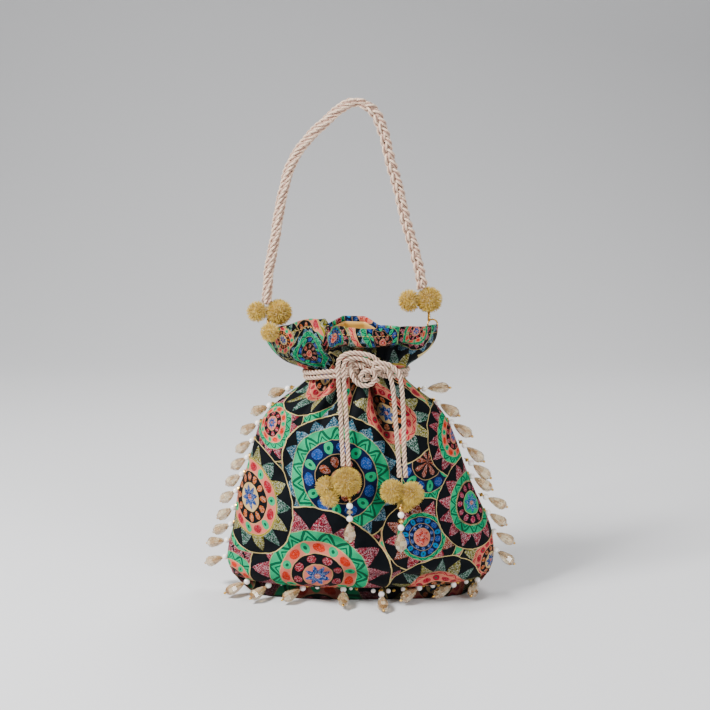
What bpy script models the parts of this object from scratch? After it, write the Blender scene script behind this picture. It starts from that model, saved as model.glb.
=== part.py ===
"""Potli bag: a gathered drawstring pouch with a plaited handle, cord ends with pompons, and a beaded fringe.

Metres, +Z up. The origin is on the ground under the middle of the pouch, the front looks towards -Y.
Sizes in the tables below are in millimetres and are turned into metres where they are used.
"""

import math

import bmesh
import bpy
from mathutils import Matrix, Vector

MM = 0.001

# The pouch, one level per line from the rim down to the bottom seam: left seam (x, z), right seam (x, z),
# middle of the front panel (y, z), middle of the back panel (y, z), and how square the level's height is.
LEVELS = (
    ((-83, 229), (64, 238), (-38, 243), (32, 242), 3),
    ((-80, 219), (62.5, 226), (-36, 231), (30.5, 230), 3),
    ((-73, 206), (55, 211), (-31, 217), (28, 215), 3),
    ((-57, 199), (46.5, 201.5), (-26.5, 206.5), (24.5, 204.5), 2),
    ((-54, 190), (44, 192), (-25.5, 197), (23.5, 195), 2),
    ((-63, 179), (51, 181), (-30, 182), (28, 180), 2),
    ((-77.5, 166), (62, 170), (-36, 162), (34, 161), 2),
    ((-88, 150), (73, 155), (-41, 141), (39, 140), 2),
    ((-93.5, 132), (81, 136), (-45.5, 118), (43.5, 117), 2),
    ((-99.5, 112), (89, 113), (-49, 95), (47, 94), 2),
    ((-107, 91), (98, 91), (-51.5, 72), (49.5, 70), 2),
    ((-111.5, 62), (110.5, 64), (-52, 50), (50, 44), 2.5),
    ((-116, 44), (114.5, 46), (-48, 33), (47, 18), 3),
    ((-117.5, 29), (115, 30), (-41, 22), (34, -6), 6),
    ((-114, 19), (112, 20), (-32, 15.5), (-17, -6), 6),
    ((-108, 13), (104.5, 13), (-24, 12), (-24, 12), 3),
)
NECK_UPPER, NECK_LOWER = 3, 4  # the two levels that the drawstrings lie between
PANEL_COLUMNS = 16
BULGE_POWER, BULGE_ROUNDNESS = 2.2, 0.6

OUTER_WALL = 1.0
LINING_GAP = 0.5
LINING_WALL = 0.4
LINING_CORNER_LEVELS, LINING_CORNER_CUT = 4, (9.0, 5.0)  # its lowest levels end short of the outer corners

CORD_RADIUS = 2.0
CORD_CLEARANCE = 1.2  # between the neck cords and the cloth
NECK_CORD_LEVELS = {"drawstring_neck_upper": 0.76, "drawstring_neck_lower": 0.28}
NECK_CORD_ENDS = (-17.5, 21.0)  # where the cords reach the knot, along X
CORD_STEP = 7.0
HAND_SPACING = 10.0

KNOT_CENTRE = (3.5, -38.5, 206.0)
KNOT_HALF_SIZE = (11.6, 4.2, 10.6)
KNOT_CORD_RADIUS = 2.4
KNOT_POINTS = 44

# The plaited handle as it stands, and the line through its two ends that it swings about.
HANDLE_RADIUS = 4.7
HANDLE_Y = -2.0
HANDLE_ROUTE = (
    (-79.9, 256.2), (-77.7, 282.6), (-72.4, 309.4), (-67.0, 340.0), (-58.9, 369.5), (-46.0, 389.7),
    (-29.6, 405.8), (-14.9, 418.0), (-5.2, 421.0), (3.7, 418.0), (11.1, 411.4), (17.7, 395.4),
    (22.7, 374.4), (29.4, 352.3), (35.3, 326.8), (42.2, 304.4), (48.8, 278.4), (50.0, 268.5),
)
HANDLE_PIVOT = (-14.5, -2.0, 253.3)
LOOP_TUBE = 1.1
LOOPS = {  # centre of each gold loop and the radius of its ring, standing on the rim
    "handle_loop_left": ((-79.0, -2.0, 237.6), 4.6),
    "handle_loop_right": ((56.0, -2.0, 244.6), 3.5),
}

# The two pairs of hanging cord ends: each strand's route, then the pompons and the string of beads.
LEFT_PIVOT = (-17.5, -42.5, 212.0)
RIGHT_PIVOT = (24.0, -41.0, 206.0)
STRANDS = {
    "drawstring_left_strand_outer": (
        LEFT_PIVOT,
        ((-19.9, -42.5, 212), (-19.7, -43, 200), (-18.6, -43.4, 185), (-17.6, -44, 168),
         (-17.0, -45.4, 152), (-16.2, -48, 140), (-15.6, -53.5, 129.2)),
    ),
    "drawstring_left_strand_inner": (
        LEFT_PIVOT,
        ((-15.3, -42.5, 212), (-15.2, -43, 200), (-14.2, -43.4, 185), (-13.2, -44, 168),
         (-12.6, -45.4, 152), (-11.8, -48, 140), (-11.0, -53.5, 129.2)),
    ),
    "drawstring_right_strand_inner": (
        RIGHT_PIVOT,
        ((21.3, -40.5, 206), (24.2, -42.6, 196), (26.2, -43.2, 180), (27.4, -44, 164),
         (28.6, -45.6, 148), (29.8, -47.6, 134), (30.4, -51.5, 119)),
    ),
    "drawstring_right_strand_outer": (
        RIGHT_PIVOT,
        ((25.2, -40.5, 209.5), (30.0, -42.2, 204), (32.2, -42.8, 192), (33.4, -43.6, 176),
         (34.0, -44.8, 160), (34.2, -46.4, 144), (34.8, -48.6, 132), (35.6, -51.5, 119)),
    ),
}
STRAND_STEP = 7.5

# name: centre, radius, what it moves with
POMPONS = {
    "handle_pompon_left_outer": ((-88.0, -2.0, 248.6), 6.3, "handle"),
    "handle_pompon_left_inner": ((-69.8, -2.0, 248.0), 9.0, "handle"),
    "handle_pompon_left_front": ((-76.0, -22.5, 235.0), 5.5, None),
    "handle_pompon_right_inner": ((39.5, -2.0, 257.8), 7.0, "handle"),
    "handle_pompon_right_outer": ((56.0, -2.0, 258.8), 9.0, "handle"),
    "drawstring_left_pompon_large": ((-12.8, -58.0, 117.5), 10.3, "left"),
    "drawstring_left_pompon_side": ((-29.4, -54.0, 112.0), 6.5, "left"),
    "drawstring_left_pompon_small": ((-28.4, -60.8, 101.0), 5.5, "left"),
    "drawstring_right_pompon_inner": ((24.6, -56.5, 108.6), 7.8, "right"),
    "drawstring_right_pompon_outer": ((40.6, -58.5, 107.4), 7.8, "right"),
    "drawstring_right_pompon_small": ((37.0, -57.0, 94.5), 5.0, "right"),
}
POMPON_SUBDIVISIONS = 2

# Turned outlines of strung beads: distance along the thread, then radius. A drop is a thread, a small gold
# bead, a pearl and a long crystal; a bead string has more beads before its crystal.
DROP_PROFILE = (
    (0, 0.55), (1.2, 0.55), (2.8, 2.0), (4.4, 0.8), (6.0, 2.7), (8.8, 2.7),
    (10.2, 0.8), (16.5, 4.0), (23.0, 5.0), (28.5, 2.4), (30.5, 0.6),
)
STRING_PROFILE = (
    (0, 0.55), (1.6, 2.1), (5.0, 2.1), (6.2, 0.8), (7.8, 2.7), (10.6, 2.7), (12.0, 0.8), (13.2, 2.4),
    (15.6, 2.4), (17.0, 0.8), (18.6, 2.7), (21.6, 2.7), (23.2, 0.8), (30.0, 3.8), (36.5, 5.2),
    (41.6, 2.4), (43.4, 0.6),
)
BEAD_SIDES = 6
STRINGS = {  # top of each bead string, under its pompons
    "drawstring_left_beads": ((-10.4, -60.0, 106.6), "left"),
    "drawstring_right_beads": ((31.6, -65.0, 100.6), "right"),
}

# Fringe drops along each seam. On the sides: height, degrees below level, degrees turned to the back.
# Along the bottom: x, and degrees turned to the right of straight ahead.
SIDE_DROPS = {
    "left": (
        (181, 22, 35), (166, 26, 35), (151, 32, 35), (136, 36, 35), (121, 36, 35), (106, 36, 35),
        (91, 36, 35), (76, 36, 32), (61, 30, 30), (46, 17, 28), (31, 24, 24),
    ),
    "right": (
        (181, -2, 0), (169, 32, 0), (152, 34, -4), (136, 40, -4), (120, 38, 0), (104, 34, 0),
        (88, 28, 10), (71, 36, 16), (54, 32, 8), (38, 40, 6),
    ),
}
BOTTOM_DROPS = (
    (-99, -62), (-80, -45), (-50, -55), (-16, 0), (16, 4), (50, -50), (80, -58), (101, -20),
)
DROP_STAND_OFF = 1.6  # from the seam to the start of a drop's thread
DROP_REST_RADIUS, DROP_REST_AT = 5.3, 23.0  # a bottom drop lies on its crystal's widest place

COLOURS = {  # colour, roughness, metallic
    "printed_cloth": ((0.05, 0.10, 0.13), 0.75, 0.0),
    "lining_satin": ((0.60, 0.35, 0.13), 0.5, 0.0),
    "blush_cord": ((0.75, 0.58, 0.46), 0.45, 0.0),
    "mustard_pompon": ((0.58, 0.40, 0.14), 0.95, 0.0),
    "gold_loop": ((0.58, 0.36, 0.10), 0.45, 0.3),
    "champagne_beads": ((0.62, 0.50, 0.36), 0.15, 0.1),
}


def clear_scene():
    for item in list(bpy.data.objects):
        bpy.data.objects.remove(item, do_unlink=True)


def metres(point):
    return Vector(point) * MM


def material(name):
    """One Principled BSDF per finish, shared by the pieces that have it."""
    found = bpy.data.materials.get(name)
    if found:
        return found
    colour, roughness, metallic = COLOURS[name]
    made = bpy.data.materials.new(name)
    made.use_nodes = True
    shader = made.node_tree.nodes["Principled BSDF"]
    shader.inputs["Base Color"].default_value = (*colour, 1)
    shader.inputs["Roughness"].default_value = roughness
    shader.inputs["Metallic"].default_value = metallic
    return made


def add_object(name, data, finish, origin=(0, 0, 0), parent=None):
    """Puts data, whose coordinates are about origin, in the scene under an optional parent empty."""
    piece = bpy.data.objects.new(name, data)
    bpy.context.scene.collection.objects.link(piece)
    data.materials.append(material(finish))
    if parent:
        piece.parent = parent
        piece.location = metres(origin) - parent.location
    else:
        piece.location = metres(origin)
    return piece


def add_pivot(name, point):
    pivot = bpy.data.objects.new(name, None)
    bpy.context.scene.collection.objects.link(pivot)
    pivot.location = metres(point)
    return pivot


def add_bmesh(name, shape, finish, origin=(0, 0, 0), parent=None):
    bmesh.ops.recalc_face_normals(shape, faces=shape.faces)
    mesh = bpy.data.meshes.new(name)
    shape.to_mesh(mesh)
    shape.free()
    mesh.shade_smooth()
    return add_object(name, mesh, finish, origin, parent)


def mix(a, b, share):
    return a + (b - a) * share


def bulge(u):
    """How far a panel stands out at u, from 0 at a side seam to 1 in the middle."""
    return max(0.0, 1 - abs(u) ** BULGE_POWER) ** BULGE_ROUNDNESS


def panel_point(level, u, front):
    """A point of the pouch's outside in millimetres: u runs from -1 at the left seam to 1 at the right."""
    left, right, front_middle, back_middle, squareness = level
    middle_y, middle_z = front_middle if front else back_middle
    seam_z = left[1] if u < 0 else right[1]
    height = mix(seam_z, middle_z, 1 - abs(u) ** squareness)
    return Vector((mix(left[0], right[0], (u + 1) / 2), middle_y * bulge(u), max(height, 0)))


def ring_position(column):
    """u and whether it is on the front, for a column counted round from the left seam by the front."""
    on_front = column <= PANEL_COLUMNS
    along = column if on_front else 2 * PANEL_COLUMNS - column
    return -math.cos(math.pi * along / PANEL_COLUMNS), on_front


def lining_levels():
    """The pouch's levels with the seams of the lowest ones drawn in and up, as a lining is cut."""
    kept, lowest = LEVELS[:-LINING_CORNER_LEVELS], LEVELS[-LINING_CORNER_LEVELS:]
    across, up = LINING_CORNER_CUT
    cut = []
    for number, (left, right, *rest) in enumerate(lowest, 1):
        share = number / LINING_CORNER_LEVELS
        cut.append(((left[0] + across * share, left[1] + up * share),
                    (right[0] - across * share, right[1] + up * share), *rest))
    return (*kept, *cut)


def pouch_skin(levels):
    """The outer surface through these levels as an open bmesh, with its rings of vertices."""
    skin = bmesh.new()
    rings = []
    for level in levels[:-1]:
        columns = [ring_position(c) for c in range(2 * PANEL_COLUMNS)]
        rings.append([skin.verts.new(panel_point(level, u, front) * MM) for u, front in columns])
    seam = [skin.verts.new(panel_point(levels[-1], ring_position(c)[0], True) * MM)
            for c in range(PANEL_COLUMNS + 1)]
    rings.append(seam + seam[-2:0:-1])
    for above, below in zip(rings, rings[1:]):
        for i, vertex in enumerate(above):
            j = (i + 1) % len(above)
            skin.faces.new((vertex, below[i], below[j]))
            skin.faces.new((vertex, below[j], above[j]))
    skin.normal_update()
    return skin, rings


def add_vessel(name, levels, inset, wall, finish):
    """A thin pouch, open at the rim, whose outside lies inset inside the surface through levels."""
    skin, rings = pouch_skin(levels)
    outer = {v: v.co - v.normal * inset * MM for v in skin.verts}
    inner = {v: v.co - v.normal * (inset + wall) * MM for v in skin.verts}
    faces = [tuple(f.verts) for f in skin.faces]
    vessel = bmesh.new()
    outside = {v: vessel.verts.new(place) for v, place in outer.items()}
    inside = {v: vessel.verts.new(place) for v, place in inner.items()}
    for corners in faces:
        vessel.faces.new([outside[v] for v in corners])
        vessel.faces.new([inside[v] for v in reversed(corners)])
    rim = rings[0]
    for i, vertex in enumerate(rim):
        after = rim[(i + 1) % len(rim)]
        vessel.faces.new((outside[vertex], outside[after], inside[after], inside[vertex]))
    skin.free()
    return add_bmesh(name, vessel, finish)


def smooth_points(route, step):
    """Points about a step apart on the smooth curve through a route's own points, all in millimetres."""
    route = [Vector(p) for p in route]
    padded = [route[0] * 2 - route[1], *route, route[-1] * 2 - route[-2]]
    dense = []
    for a, b, c, d in zip(padded, padded[1:], padded[2:], padded[3:]):
        for i in range(12):
            t = i / 12
            dense.append(0.5 * (2 * b + (c - a) * t + (2 * a - 5 * b + 4 * c - d) * t**2
                                + (3 * b - a - 3 * c + d) * t**3))
    dense.append(route[-1])
    lengths = [0.0]
    for a, b in zip(dense, dense[1:]):
        lengths.append(lengths[-1] + (b - a).length)
    count = max(3, round(lengths[-1] / step) + 1)
    chosen, at = [], 0
    for i in range(count):
        target = lengths[-1] * i / (count - 1)
        while at < len(dense) - 2 and lengths[at + 1] < target:
            at += 1
        span = lengths[at + 1] - lengths[at]
        chosen.append(dense[at].lerp(dense[at + 1], (target - lengths[at]) / span))
    return chosen


def add_tube(name, points, radius, finish, origin=(0, 0, 0), parent=None, closed=False):
    """A round cord along points, in millimetres, with its ends filled unless it is closed."""
    curve = bpy.data.curves.new(name, "CURVE")
    curve.dimensions = "3D"
    curve.bevel_depth = radius * MM
    curve.bevel_resolution = 2
    curve.use_fill_caps = not closed
    spline = curve.splines.new("POLY")
    spline.points.add(len(points) - 1)
    for place, point in zip(spline.points, points):
        place.co = (*((Vector(point) - Vector(origin)) * MM), 1)
    spline.use_cyclic_u = closed
    return add_object(name, curve, finish, origin, parent)


def neck_cord_route(share):
    """Round the neck from the knot's right side by the back to its left, at a share of the neck's height."""
    upper, lower = LEVELS[NECK_UPPER], LEVELS[NECK_LOWER]
    columns = 2 * PANEL_COLUMNS
    ring = []
    for column in range(columns):
        u, front = ring_position(column)
        ring.append(panel_point(lower, u, front).lerp(panel_point(upper, u, front), share))
    outward = CORD_RADIUS + CORD_CLEARANCE
    route = []
    for i, point in enumerate(ring):
        along = ring[(i + 1) % columns] - ring[i - 1]
        side = Vector((along.y, -along.x, 0)).normalized()
        route.append(point + side * outward)
    start = max(i for i in range(PANEL_COLUMNS) if route[i].x < NECK_CORD_ENDS[0])
    stop = min(i for i in range(PANEL_COLUMNS) if route[i].x > NECK_CORD_ENDS[1])
    left_end = cut_at(route[start], route[start + 1], NECK_CORD_ENDS[0])
    right_end = cut_at(route[stop - 1], route[stop], NECK_CORD_ENDS[1])
    return [right_end, *route[stop:], *route[: start + 1], left_end]


def cut_at(a, b, x):
    return a.lerp(b, (x - a.x) / (b.x - a.x))


def knot_points():
    """A tied knot: the three-lobed curve that crosses over and under itself."""
    points = []
    for i in range(KNOT_POINTS):
        t = math.tau * i / KNOT_POINTS
        across = (math.sin(t) + 2 * math.sin(2 * t)) / 2.7
        up = (math.cos(t) - 2 * math.cos(2 * t)) / 2.6
        points.append(Vector(KNOT_CENTRE) + Vector((KNOT_HALF_SIZE[0] * across,
                                                    KNOT_HALF_SIZE[1] * -math.sin(3 * t),
                                                    KNOT_HALF_SIZE[2] * up)))
    return points


def turned(profile):
    """A closed solid turned about +X from distances along the thread and radii, in millimetres."""
    shape = bmesh.new()
    rings = []
    for along, radius in profile:
        angles = [math.tau * i / BEAD_SIDES for i in range(BEAD_SIDES)]
        rings.append([shape.verts.new(Vector((along, radius * math.cos(a), radius * math.sin(a))) * MM)
                      for a in angles])
    for near, far in zip(rings, rings[1:]):
        for i in range(BEAD_SIDES):
            j = (i + 1) % BEAD_SIDES
            shape.faces.new((near[i], near[j], far[j], far[i]))
    shape.faces.new(rings[0])
    shape.faces.new(rings[-1])
    return shape


def add_strung(name, profile, start, direction, parent=None):
    """Strung beads whose thread begins at start, which is also the piece's origin and hinge point."""
    piece = add_bmesh(name, turned(profile), "champagne_beads", start, parent)
    piece.rotation_mode = "QUATERNION"
    piece.rotation_quaternion = Vector(direction).to_track_quat("X", "Z")
    return piece


def add_pompon(name, centre, radius, parent):
    ball = bmesh.new()
    bmesh.ops.create_icosphere(ball, subdivisions=POMPON_SUBDIVISIONS, radius=radius * MM)
    origin = parent.location / MM if parent else centre
    bmesh.ops.translate(ball, verts=ball.verts, vec=metres(centre) - metres(origin))
    return add_bmesh(name, ball, "mustard_pompon", origin, parent)


def add_loop(name, centre, ring_radius):
    """A ring of gold cord that stands across the rim."""
    points = []
    for i in range(14):
        angle = math.tau * i / 14
        points.append(Vector(centre) + Vector((0, math.cos(angle), math.sin(angle))) * ring_radius)
    return add_tube(name, points, LOOP_TUBE, "gold_loop", centre, closed=True)


def seam_place(side, height):
    """The seam's point at a height on one side, and the level direction that leads out of the cloth."""
    seam = [Vector((level[side][0], 0, level[side][1])) for level in LEVELS]
    for above, below in zip(seam[NECK_LOWER:], seam[NECK_LOWER + 1:]):
        if above.z >= height >= below.z:
            along = (below - above).normalized()
            out = Vector((along.z, 0, -along.x)) * (1 if side == 0 else -1)
            return above.lerp(below, (above.z - height) / (above.z - below.z)), out
    raise ValueError(f"no seam at {height}")


def add_side_drops():
    for side, (word, drops) in enumerate(SIDE_DROPS.items()):
        outward = -1 if side == 0 else 1
        for number, (height, below, back) in enumerate(drops, 1):
            seam, out = seam_place(side, height)
            pitch, yaw = math.radians(below), math.radians(back)
            direction = Vector((outward * math.cos(pitch) * math.cos(yaw),
                                math.cos(pitch) * math.sin(yaw), -math.sin(pitch)))
            start = seam + out * DROP_STAND_OFF
            add_strung(f"fringe_{word}_{number:02d}", DROP_PROFILE, start, direction)


def bottom_seam(x):
    left, right = LEVELS[-1][:2]
    u = 2 * (x - left[0]) / (right[0] - left[0]) - 1
    return panel_point(LEVELS[-1], u, True)


def add_bottom_drops():
    for number, (x, yaw) in enumerate(BOTTOM_DROPS, 1):
        turn = math.radians(yaw)
        ahead = Vector((math.sin(turn), -math.cos(turn), 0))
        start = bottom_seam(x) + ahead * 0.4 + Vector((0, -DROP_STAND_OFF, -0.6))
        fall = math.asin((start.z - DROP_REST_RADIUS) / DROP_REST_AT)
        direction = ahead * math.cos(fall) - Vector((0, 0, math.sin(fall)))
        add_strung(f"fringe_bottom_{number:02d}", DROP_PROFILE, start, direction)


def add_pouch():
    add_vessel("outer_pouch", LEVELS, 0.0, OUTER_WALL, "printed_cloth")
    add_vessel("satin_lining", lining_levels(), OUTER_WALL + LINING_GAP, LINING_WALL, "lining_satin")
    for name, share in NECK_CORD_LEVELS.items():
        add_tube(name, smooth_points(neck_cord_route(share), HAND_SPACING), CORD_RADIUS, "blush_cord")
    add_tube("drawstring_knot", knot_points(), KNOT_CORD_RADIUS, "blush_cord", closed=True)


def add_handle(pivot):
    route = [(x, HANDLE_Y, z) for x, z in HANDLE_ROUTE]
    points = smooth_points(route, HAND_SPACING)
    add_tube("plaited_handle", points, HANDLE_RADIUS, "blush_cord", HANDLE_PIVOT, pivot)
    for name, (centre, ring_radius) in LOOPS.items():
        add_loop(name, centre, ring_radius)


def add_cord_ends(pivots):
    for name, (origin, route) in STRANDS.items():
        parent = pivots["left" if origin == LEFT_PIVOT else "right"]
        add_tube(name, smooth_points(route, STRAND_STEP), CORD_RADIUS, "blush_cord", origin, parent)
    for name, (centre, radius, moves_with) in POMPONS.items():
        add_pompon(name, centre, radius, pivots.get(moves_with))
    for name, (start, moves_with) in STRINGS.items():
        add_strung(name, STRING_PROFILE, start, (0, 0, -1), pivots[moves_with])


def main():
    clear_scene()
    pivots = {
        "handle": add_pivot("handle_pivot", HANDLE_PIVOT),
        "left": add_pivot("drawstring_left_pivot", LEFT_PIVOT),
        "right": add_pivot("drawstring_right_pivot", RIGHT_PIVOT),
    }
    add_pouch()
    add_handle(pivots["handle"])
    add_cord_ends(pivots)
    add_side_drops()
    add_bottom_drops()


main()
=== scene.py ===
import math
from functools import partialmethod

import bpy
import bmesh
import numpy as np
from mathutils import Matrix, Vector, noise


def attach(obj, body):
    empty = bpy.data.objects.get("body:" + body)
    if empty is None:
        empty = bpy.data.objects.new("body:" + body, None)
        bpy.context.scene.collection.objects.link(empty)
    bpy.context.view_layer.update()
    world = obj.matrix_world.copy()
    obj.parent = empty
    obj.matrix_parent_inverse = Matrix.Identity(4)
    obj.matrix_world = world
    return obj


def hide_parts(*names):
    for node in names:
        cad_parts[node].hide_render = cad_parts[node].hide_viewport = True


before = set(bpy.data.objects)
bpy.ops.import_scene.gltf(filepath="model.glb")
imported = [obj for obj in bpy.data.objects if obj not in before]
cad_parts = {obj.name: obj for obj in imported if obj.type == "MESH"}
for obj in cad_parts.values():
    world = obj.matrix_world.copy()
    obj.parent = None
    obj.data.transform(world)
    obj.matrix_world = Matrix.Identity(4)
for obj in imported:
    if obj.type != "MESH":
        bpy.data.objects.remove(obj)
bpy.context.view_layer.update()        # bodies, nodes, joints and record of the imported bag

mm = 0.001
collection = bpy.context.scene.collection

stage = {
    "cameraPlace": (-0.006, -1.08, 0.44),
    "cameraPitch": 11.97,          # degrees below level
    "lens": 66.2,
    "floorWidth": 8.0,
    "floorFront": -3.0,
    "sweepStart": 0.9,             # where the floor starts to curve up behind the bag
    "sweepRadius": 1.2,
    "sweepHeight": 3.2,
    "sweepSteps": 24,
    "floorColour": (0.64, 0.64, 0.65),
    "worldColour": (0.80, 0.81, 0.83),
    "worldStrength": 0.30,
    "lights": (                     # place, aim, size, watts
        ((-0.95, -0.55, 1.15), (0.0, 0.0, 0.15), 0.40, 52.0),
        ((0.9, -1.0, 0.6), (0.0, 0.0, 0.15), 0.6, 13.0),
        ((0.3, 0.6, 1.3), (0.0, 0.0, 0.2), 0.7, 14.0),
    ),
}


def srgb(red, green, blue):
    def linear(value):
        value /= 255
        return value / 12.92 if value <= 0.04045 else ((value + 0.055) / 1.055) ** 2.4
    return (linear(red), linear(green), linear(blue), 1.0)


def buildStage():
    camera = bpy.data.objects.new("camera", bpy.data.cameras.new("camera"))
    camera.data.lens = stage["lens"]
    camera.location = stage["cameraPlace"]
    camera.rotation_euler = (math.radians(90 - stage["cameraPitch"]), 0, 0)
    camera.data.dof.use_dof = False
    collection.objects.link(camera)
    bpy.context.scene.camera = camera
    for number, (place, aim, size, watts) in enumerate(stage["lights"]):
        light = bpy.data.lights.new(f"light{number}", "AREA")
        light.size = size
        light.energy = watts
        lamp = bpy.data.objects.new(f"light{number}", light)
        lamp.location = place
        lamp.rotation_euler = (Vector(aim) - Vector(place)).to_track_quat("-Z", "Y").to_euler()
        collection.objects.link(lamp)
    world = bpy.data.worlds.new("softGrey")
    bpy.context.scene.world = world
    world.use_nodes = True
    world.node_tree.nodes["Background"].inputs["Color"].default_value = (*stage["worldColour"], 1)
    world.node_tree.nodes["Background"].inputs["Strength"].default_value = stage["worldStrength"]
    mesh = bpy.data.meshes.new("floor")
    half, start, bend = stage["floorWidth"] / 2, stage["sweepStart"], stage["sweepRadius"]
    profile = [(stage["floorFront"], 0.0)]
    for step in range(stage["sweepSteps"] + 1):
        a = math.pi / 2 * step / stage["sweepSteps"]
        profile.append((start + bend * math.sin(a), bend - bend * math.cos(a)))
    profile.append((start + bend, stage["sweepHeight"]))
    corners = [(x, y, z) for y, z in profile for x in (-half, half)]
    mesh.from_pydata(corners, [], [(i, i + 1, i + 3, i + 2) for i in range(0, len(corners) - 2, 2)])
    mesh.polygons.foreach_set("use_smooth", [True] * len(mesh.polygons))
    floor = bpy.data.objects.new("floor", mesh)
    collection.objects.link(floor)
    material = bpy.data.materials.new("paleFloor")
    material.use_nodes = True
    shader = material.node_tree.nodes["Principled BSDF"]
    shader.inputs["Base Color"].default_value = (*stage["floorColour"], 1)
    shader.inputs["Roughness"].default_value = 0.85
    mesh.materials.append(material)


class Tree:
    # Short words for the shader nodes that the finishes are made of.

    def __init__(self, name):
        self.material = bpy.data.materials.new(name)
        self.material.use_nodes = True
        self.tree = self.material.node_tree
        self.shader = self.tree.nodes["Principled BSDF"]

    def put(self, socket, value):
        if isinstance(value, bpy.types.NodeSocket):
            self.tree.links.new(value, socket)
        elif value is not None:
            socket.default_value = value

    def node(self, kind, **settings):
        made = self.tree.nodes.new(kind)
        for name, value in settings.items():
            setattr(made, name, value)
        return made

    def math(self, operation, a, b=None, c=None, clamp=False):
        made = self.node("ShaderNodeMath", operation=operation, use_clamp=clamp)
        for socket, value in zip(made.inputs, (a, b, c)):
            self.put(socket, value)
        return made.outputs[0]

    times = partialmethod(math, "MULTIPLY")
    plus = partialmethod(math, "ADD")
    minus = partialmethod(math, "SUBTRACT")
    scaled = partialmethod(math, "MULTIPLY_ADD")      # a times b, plus c
    below = partialmethod(math, "LESS_THAN")
    above = partialmethod(math, "GREATER_THAN")
    size = partialmethod(math, "ABSOLUTE")

    def near(self, value, place, reach):
        return self.below(self.size(self.minus(value, place)), reach)

    def vector(self, operation, a, b=None, scale=None):
        made = self.node("ShaderNodeVectorMath", operation=operation)
        self.put(made.inputs[0], a)
        if b is not None:
            self.put(made.inputs[1], b)
        if scale is not None:
            self.put(made.inputs["Scale"], scale)
        return made.outputs["Value" if operation in ("LENGTH", "DISTANCE") else "Vector"]

    def mix(self, share, a, b):
        made = self.node("ShaderNodeMix", data_type="RGBA")
        self.put(made.inputs[0], share)
        self.put(made.inputs[6], a)
        self.put(made.inputs[7], b)
        return made.outputs[2]

    def mixVector(self, share, a, b):
        made = self.node("ShaderNodeMix", data_type="VECTOR")
        self.put(made.inputs[0], share)
        self.put(made.inputs[4], a)
        self.put(made.inputs[5], b)
        return made.outputs[1]

    def objectPlace(self):
        return self.node("ShaderNodeTexCoord").outputs["Object"]

    def noise(self, vector, scale, detail=2.0, roughness=0.5):
        made = self.node("ShaderNodeTexNoise")
        self.put(made.inputs["Vector"], vector)
        made.inputs["Scale"].default_value = scale
        made.inputs["Detail"].default_value = detail
        made.inputs["Roughness"].default_value = roughness
        return made.outputs["Fac"]

    def voronoi(self, vector, scale, randomness=1.0):
        made = self.node("ShaderNodeTexVoronoi")
        self.put(made.inputs["Vector"], vector)
        made.inputs["Scale"].default_value = scale
        made.inputs["Randomness"].default_value = randomness
        return made.outputs

    def steps(self, value, choices):
        # One of the choices, all colours, by a value from 0 to 1.
        ramp = self.node("ShaderNodeValToRGB")
        ramp.color_ramp.interpolation = "CONSTANT"
        elements = ramp.color_ramp.elements
        while len(elements) < len(choices):
            elements.new(0.5)
        for number in range(len(choices)):
            elements[number].position = number / len(choices)
        for number, colour in enumerate(choices):
            elements[number].color = colour
        self.put(ramp.inputs[0], value)
        return ramp.outputs[0]

    def bump(self, height, distance, strength):
        made = self.node("ShaderNodeBump")
        made.inputs["Strength"].default_value = strength
        made.inputs["Distance"].default_value = distance
        self.put(made.inputs["Height"], height)
        return made.outputs[0]

    def finish(self, **inputs):
        for name, value in inputs.items():
            self.put(self.shader.inputs[name.replace("_", " ")], value)
        return self.material


paint = {
    "night": srgb(2, 7, 13), "navy": srgb(14, 26, 62), "mint": srgb(78, 182, 132),
    "green": srgb(6, 92, 62), "teal": srgb(40, 112, 140), "olive": srgb(150, 140, 34),
    "red": srgb(178, 8, 38), "magenta": srgb(186, 22, 76), "rose": srgb(176, 44, 66),
    "orange": srgb(224, 52, 18), "amber": srgb(212, 108, 38), "peach": srgb(230, 148, 134),
    "cream": srgb(226, 196, 150), "blue": srgb(16, 74, 160), "sky": srgb(48, 128, 188),
    "copper": srgb(168, 72, 34), "gold": srgb(232, 216, 160),
}

# One line for each kind of rosette. Band edges as shares of its radius, then the colours of: flower,
# its ground, dots, their ground, ovals, every other oval, their ground, zigzag, its ground, teeth,
# every other tooth, and their ground. Last come the numbers of petals, dots, ovals and teeth.
rosettes = (
    ((0.13, 0.38, 0.60, 0.80), "orange peach copper night blue mint navy green mint teal teal night",
     (5, 8, 14, 18)),
    ((0.24, 0.44, 0.64, 0.67), "blue cream amber night red mint peach olive olive olive green night",
     (8, 12, 14, 14)),
    ((0.20, 0.36, 0.52, 0.68), "blue peach red night orange mint peach green mint rose rose night",
     (8, 8, 14, 14)),
    ((0.25, 0.46, 0.48, 0.66), "sky mint magenta night magenta mint night green mint rose rose night",
     (7, 12, 16, 14)),
    ((0.22, 0.34, 0.52, 0.62), "orange peach blue navy blue sky navy green mint red copper night",
     (6, 10, 14, 12)),
    ((0.20, 0.36, 0.52, 0.60), "blue cream amber night red rose peach rose peach olive green night",
     (7, 10, 14, 14)),
)

# Where the rosettes lie, later ones on top: x and z on the front, radius, kind, and a turn. All in
# millimetres seen from the front, but for the kind and the turn in degrees.
rosettePlaces = (
    (112, 30, 40, 5, 40), (-76, 156, 30, 2, 0), (-31, 196, 42, 5, 0), (20, 166, 45, 5, 20),
    (78, 142, 34, 2, 10), (-19, 116, 54, 0, 8), (50, 64, 34, 4, 5), (64, 8, 44, 5, 25),
    (94, 84, 40, 3, 0), (-37, 30, 63, 2, 3), (-96, 92, 47, 1, 4),
    (-66, 229, 19, 1, 12), (-44, 216, 24, 0, 0), (-23, 234, 15, 4, 0), (17, 230, 27, 0, 14),
    (44, 236, 21, 2, 0),
)

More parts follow.
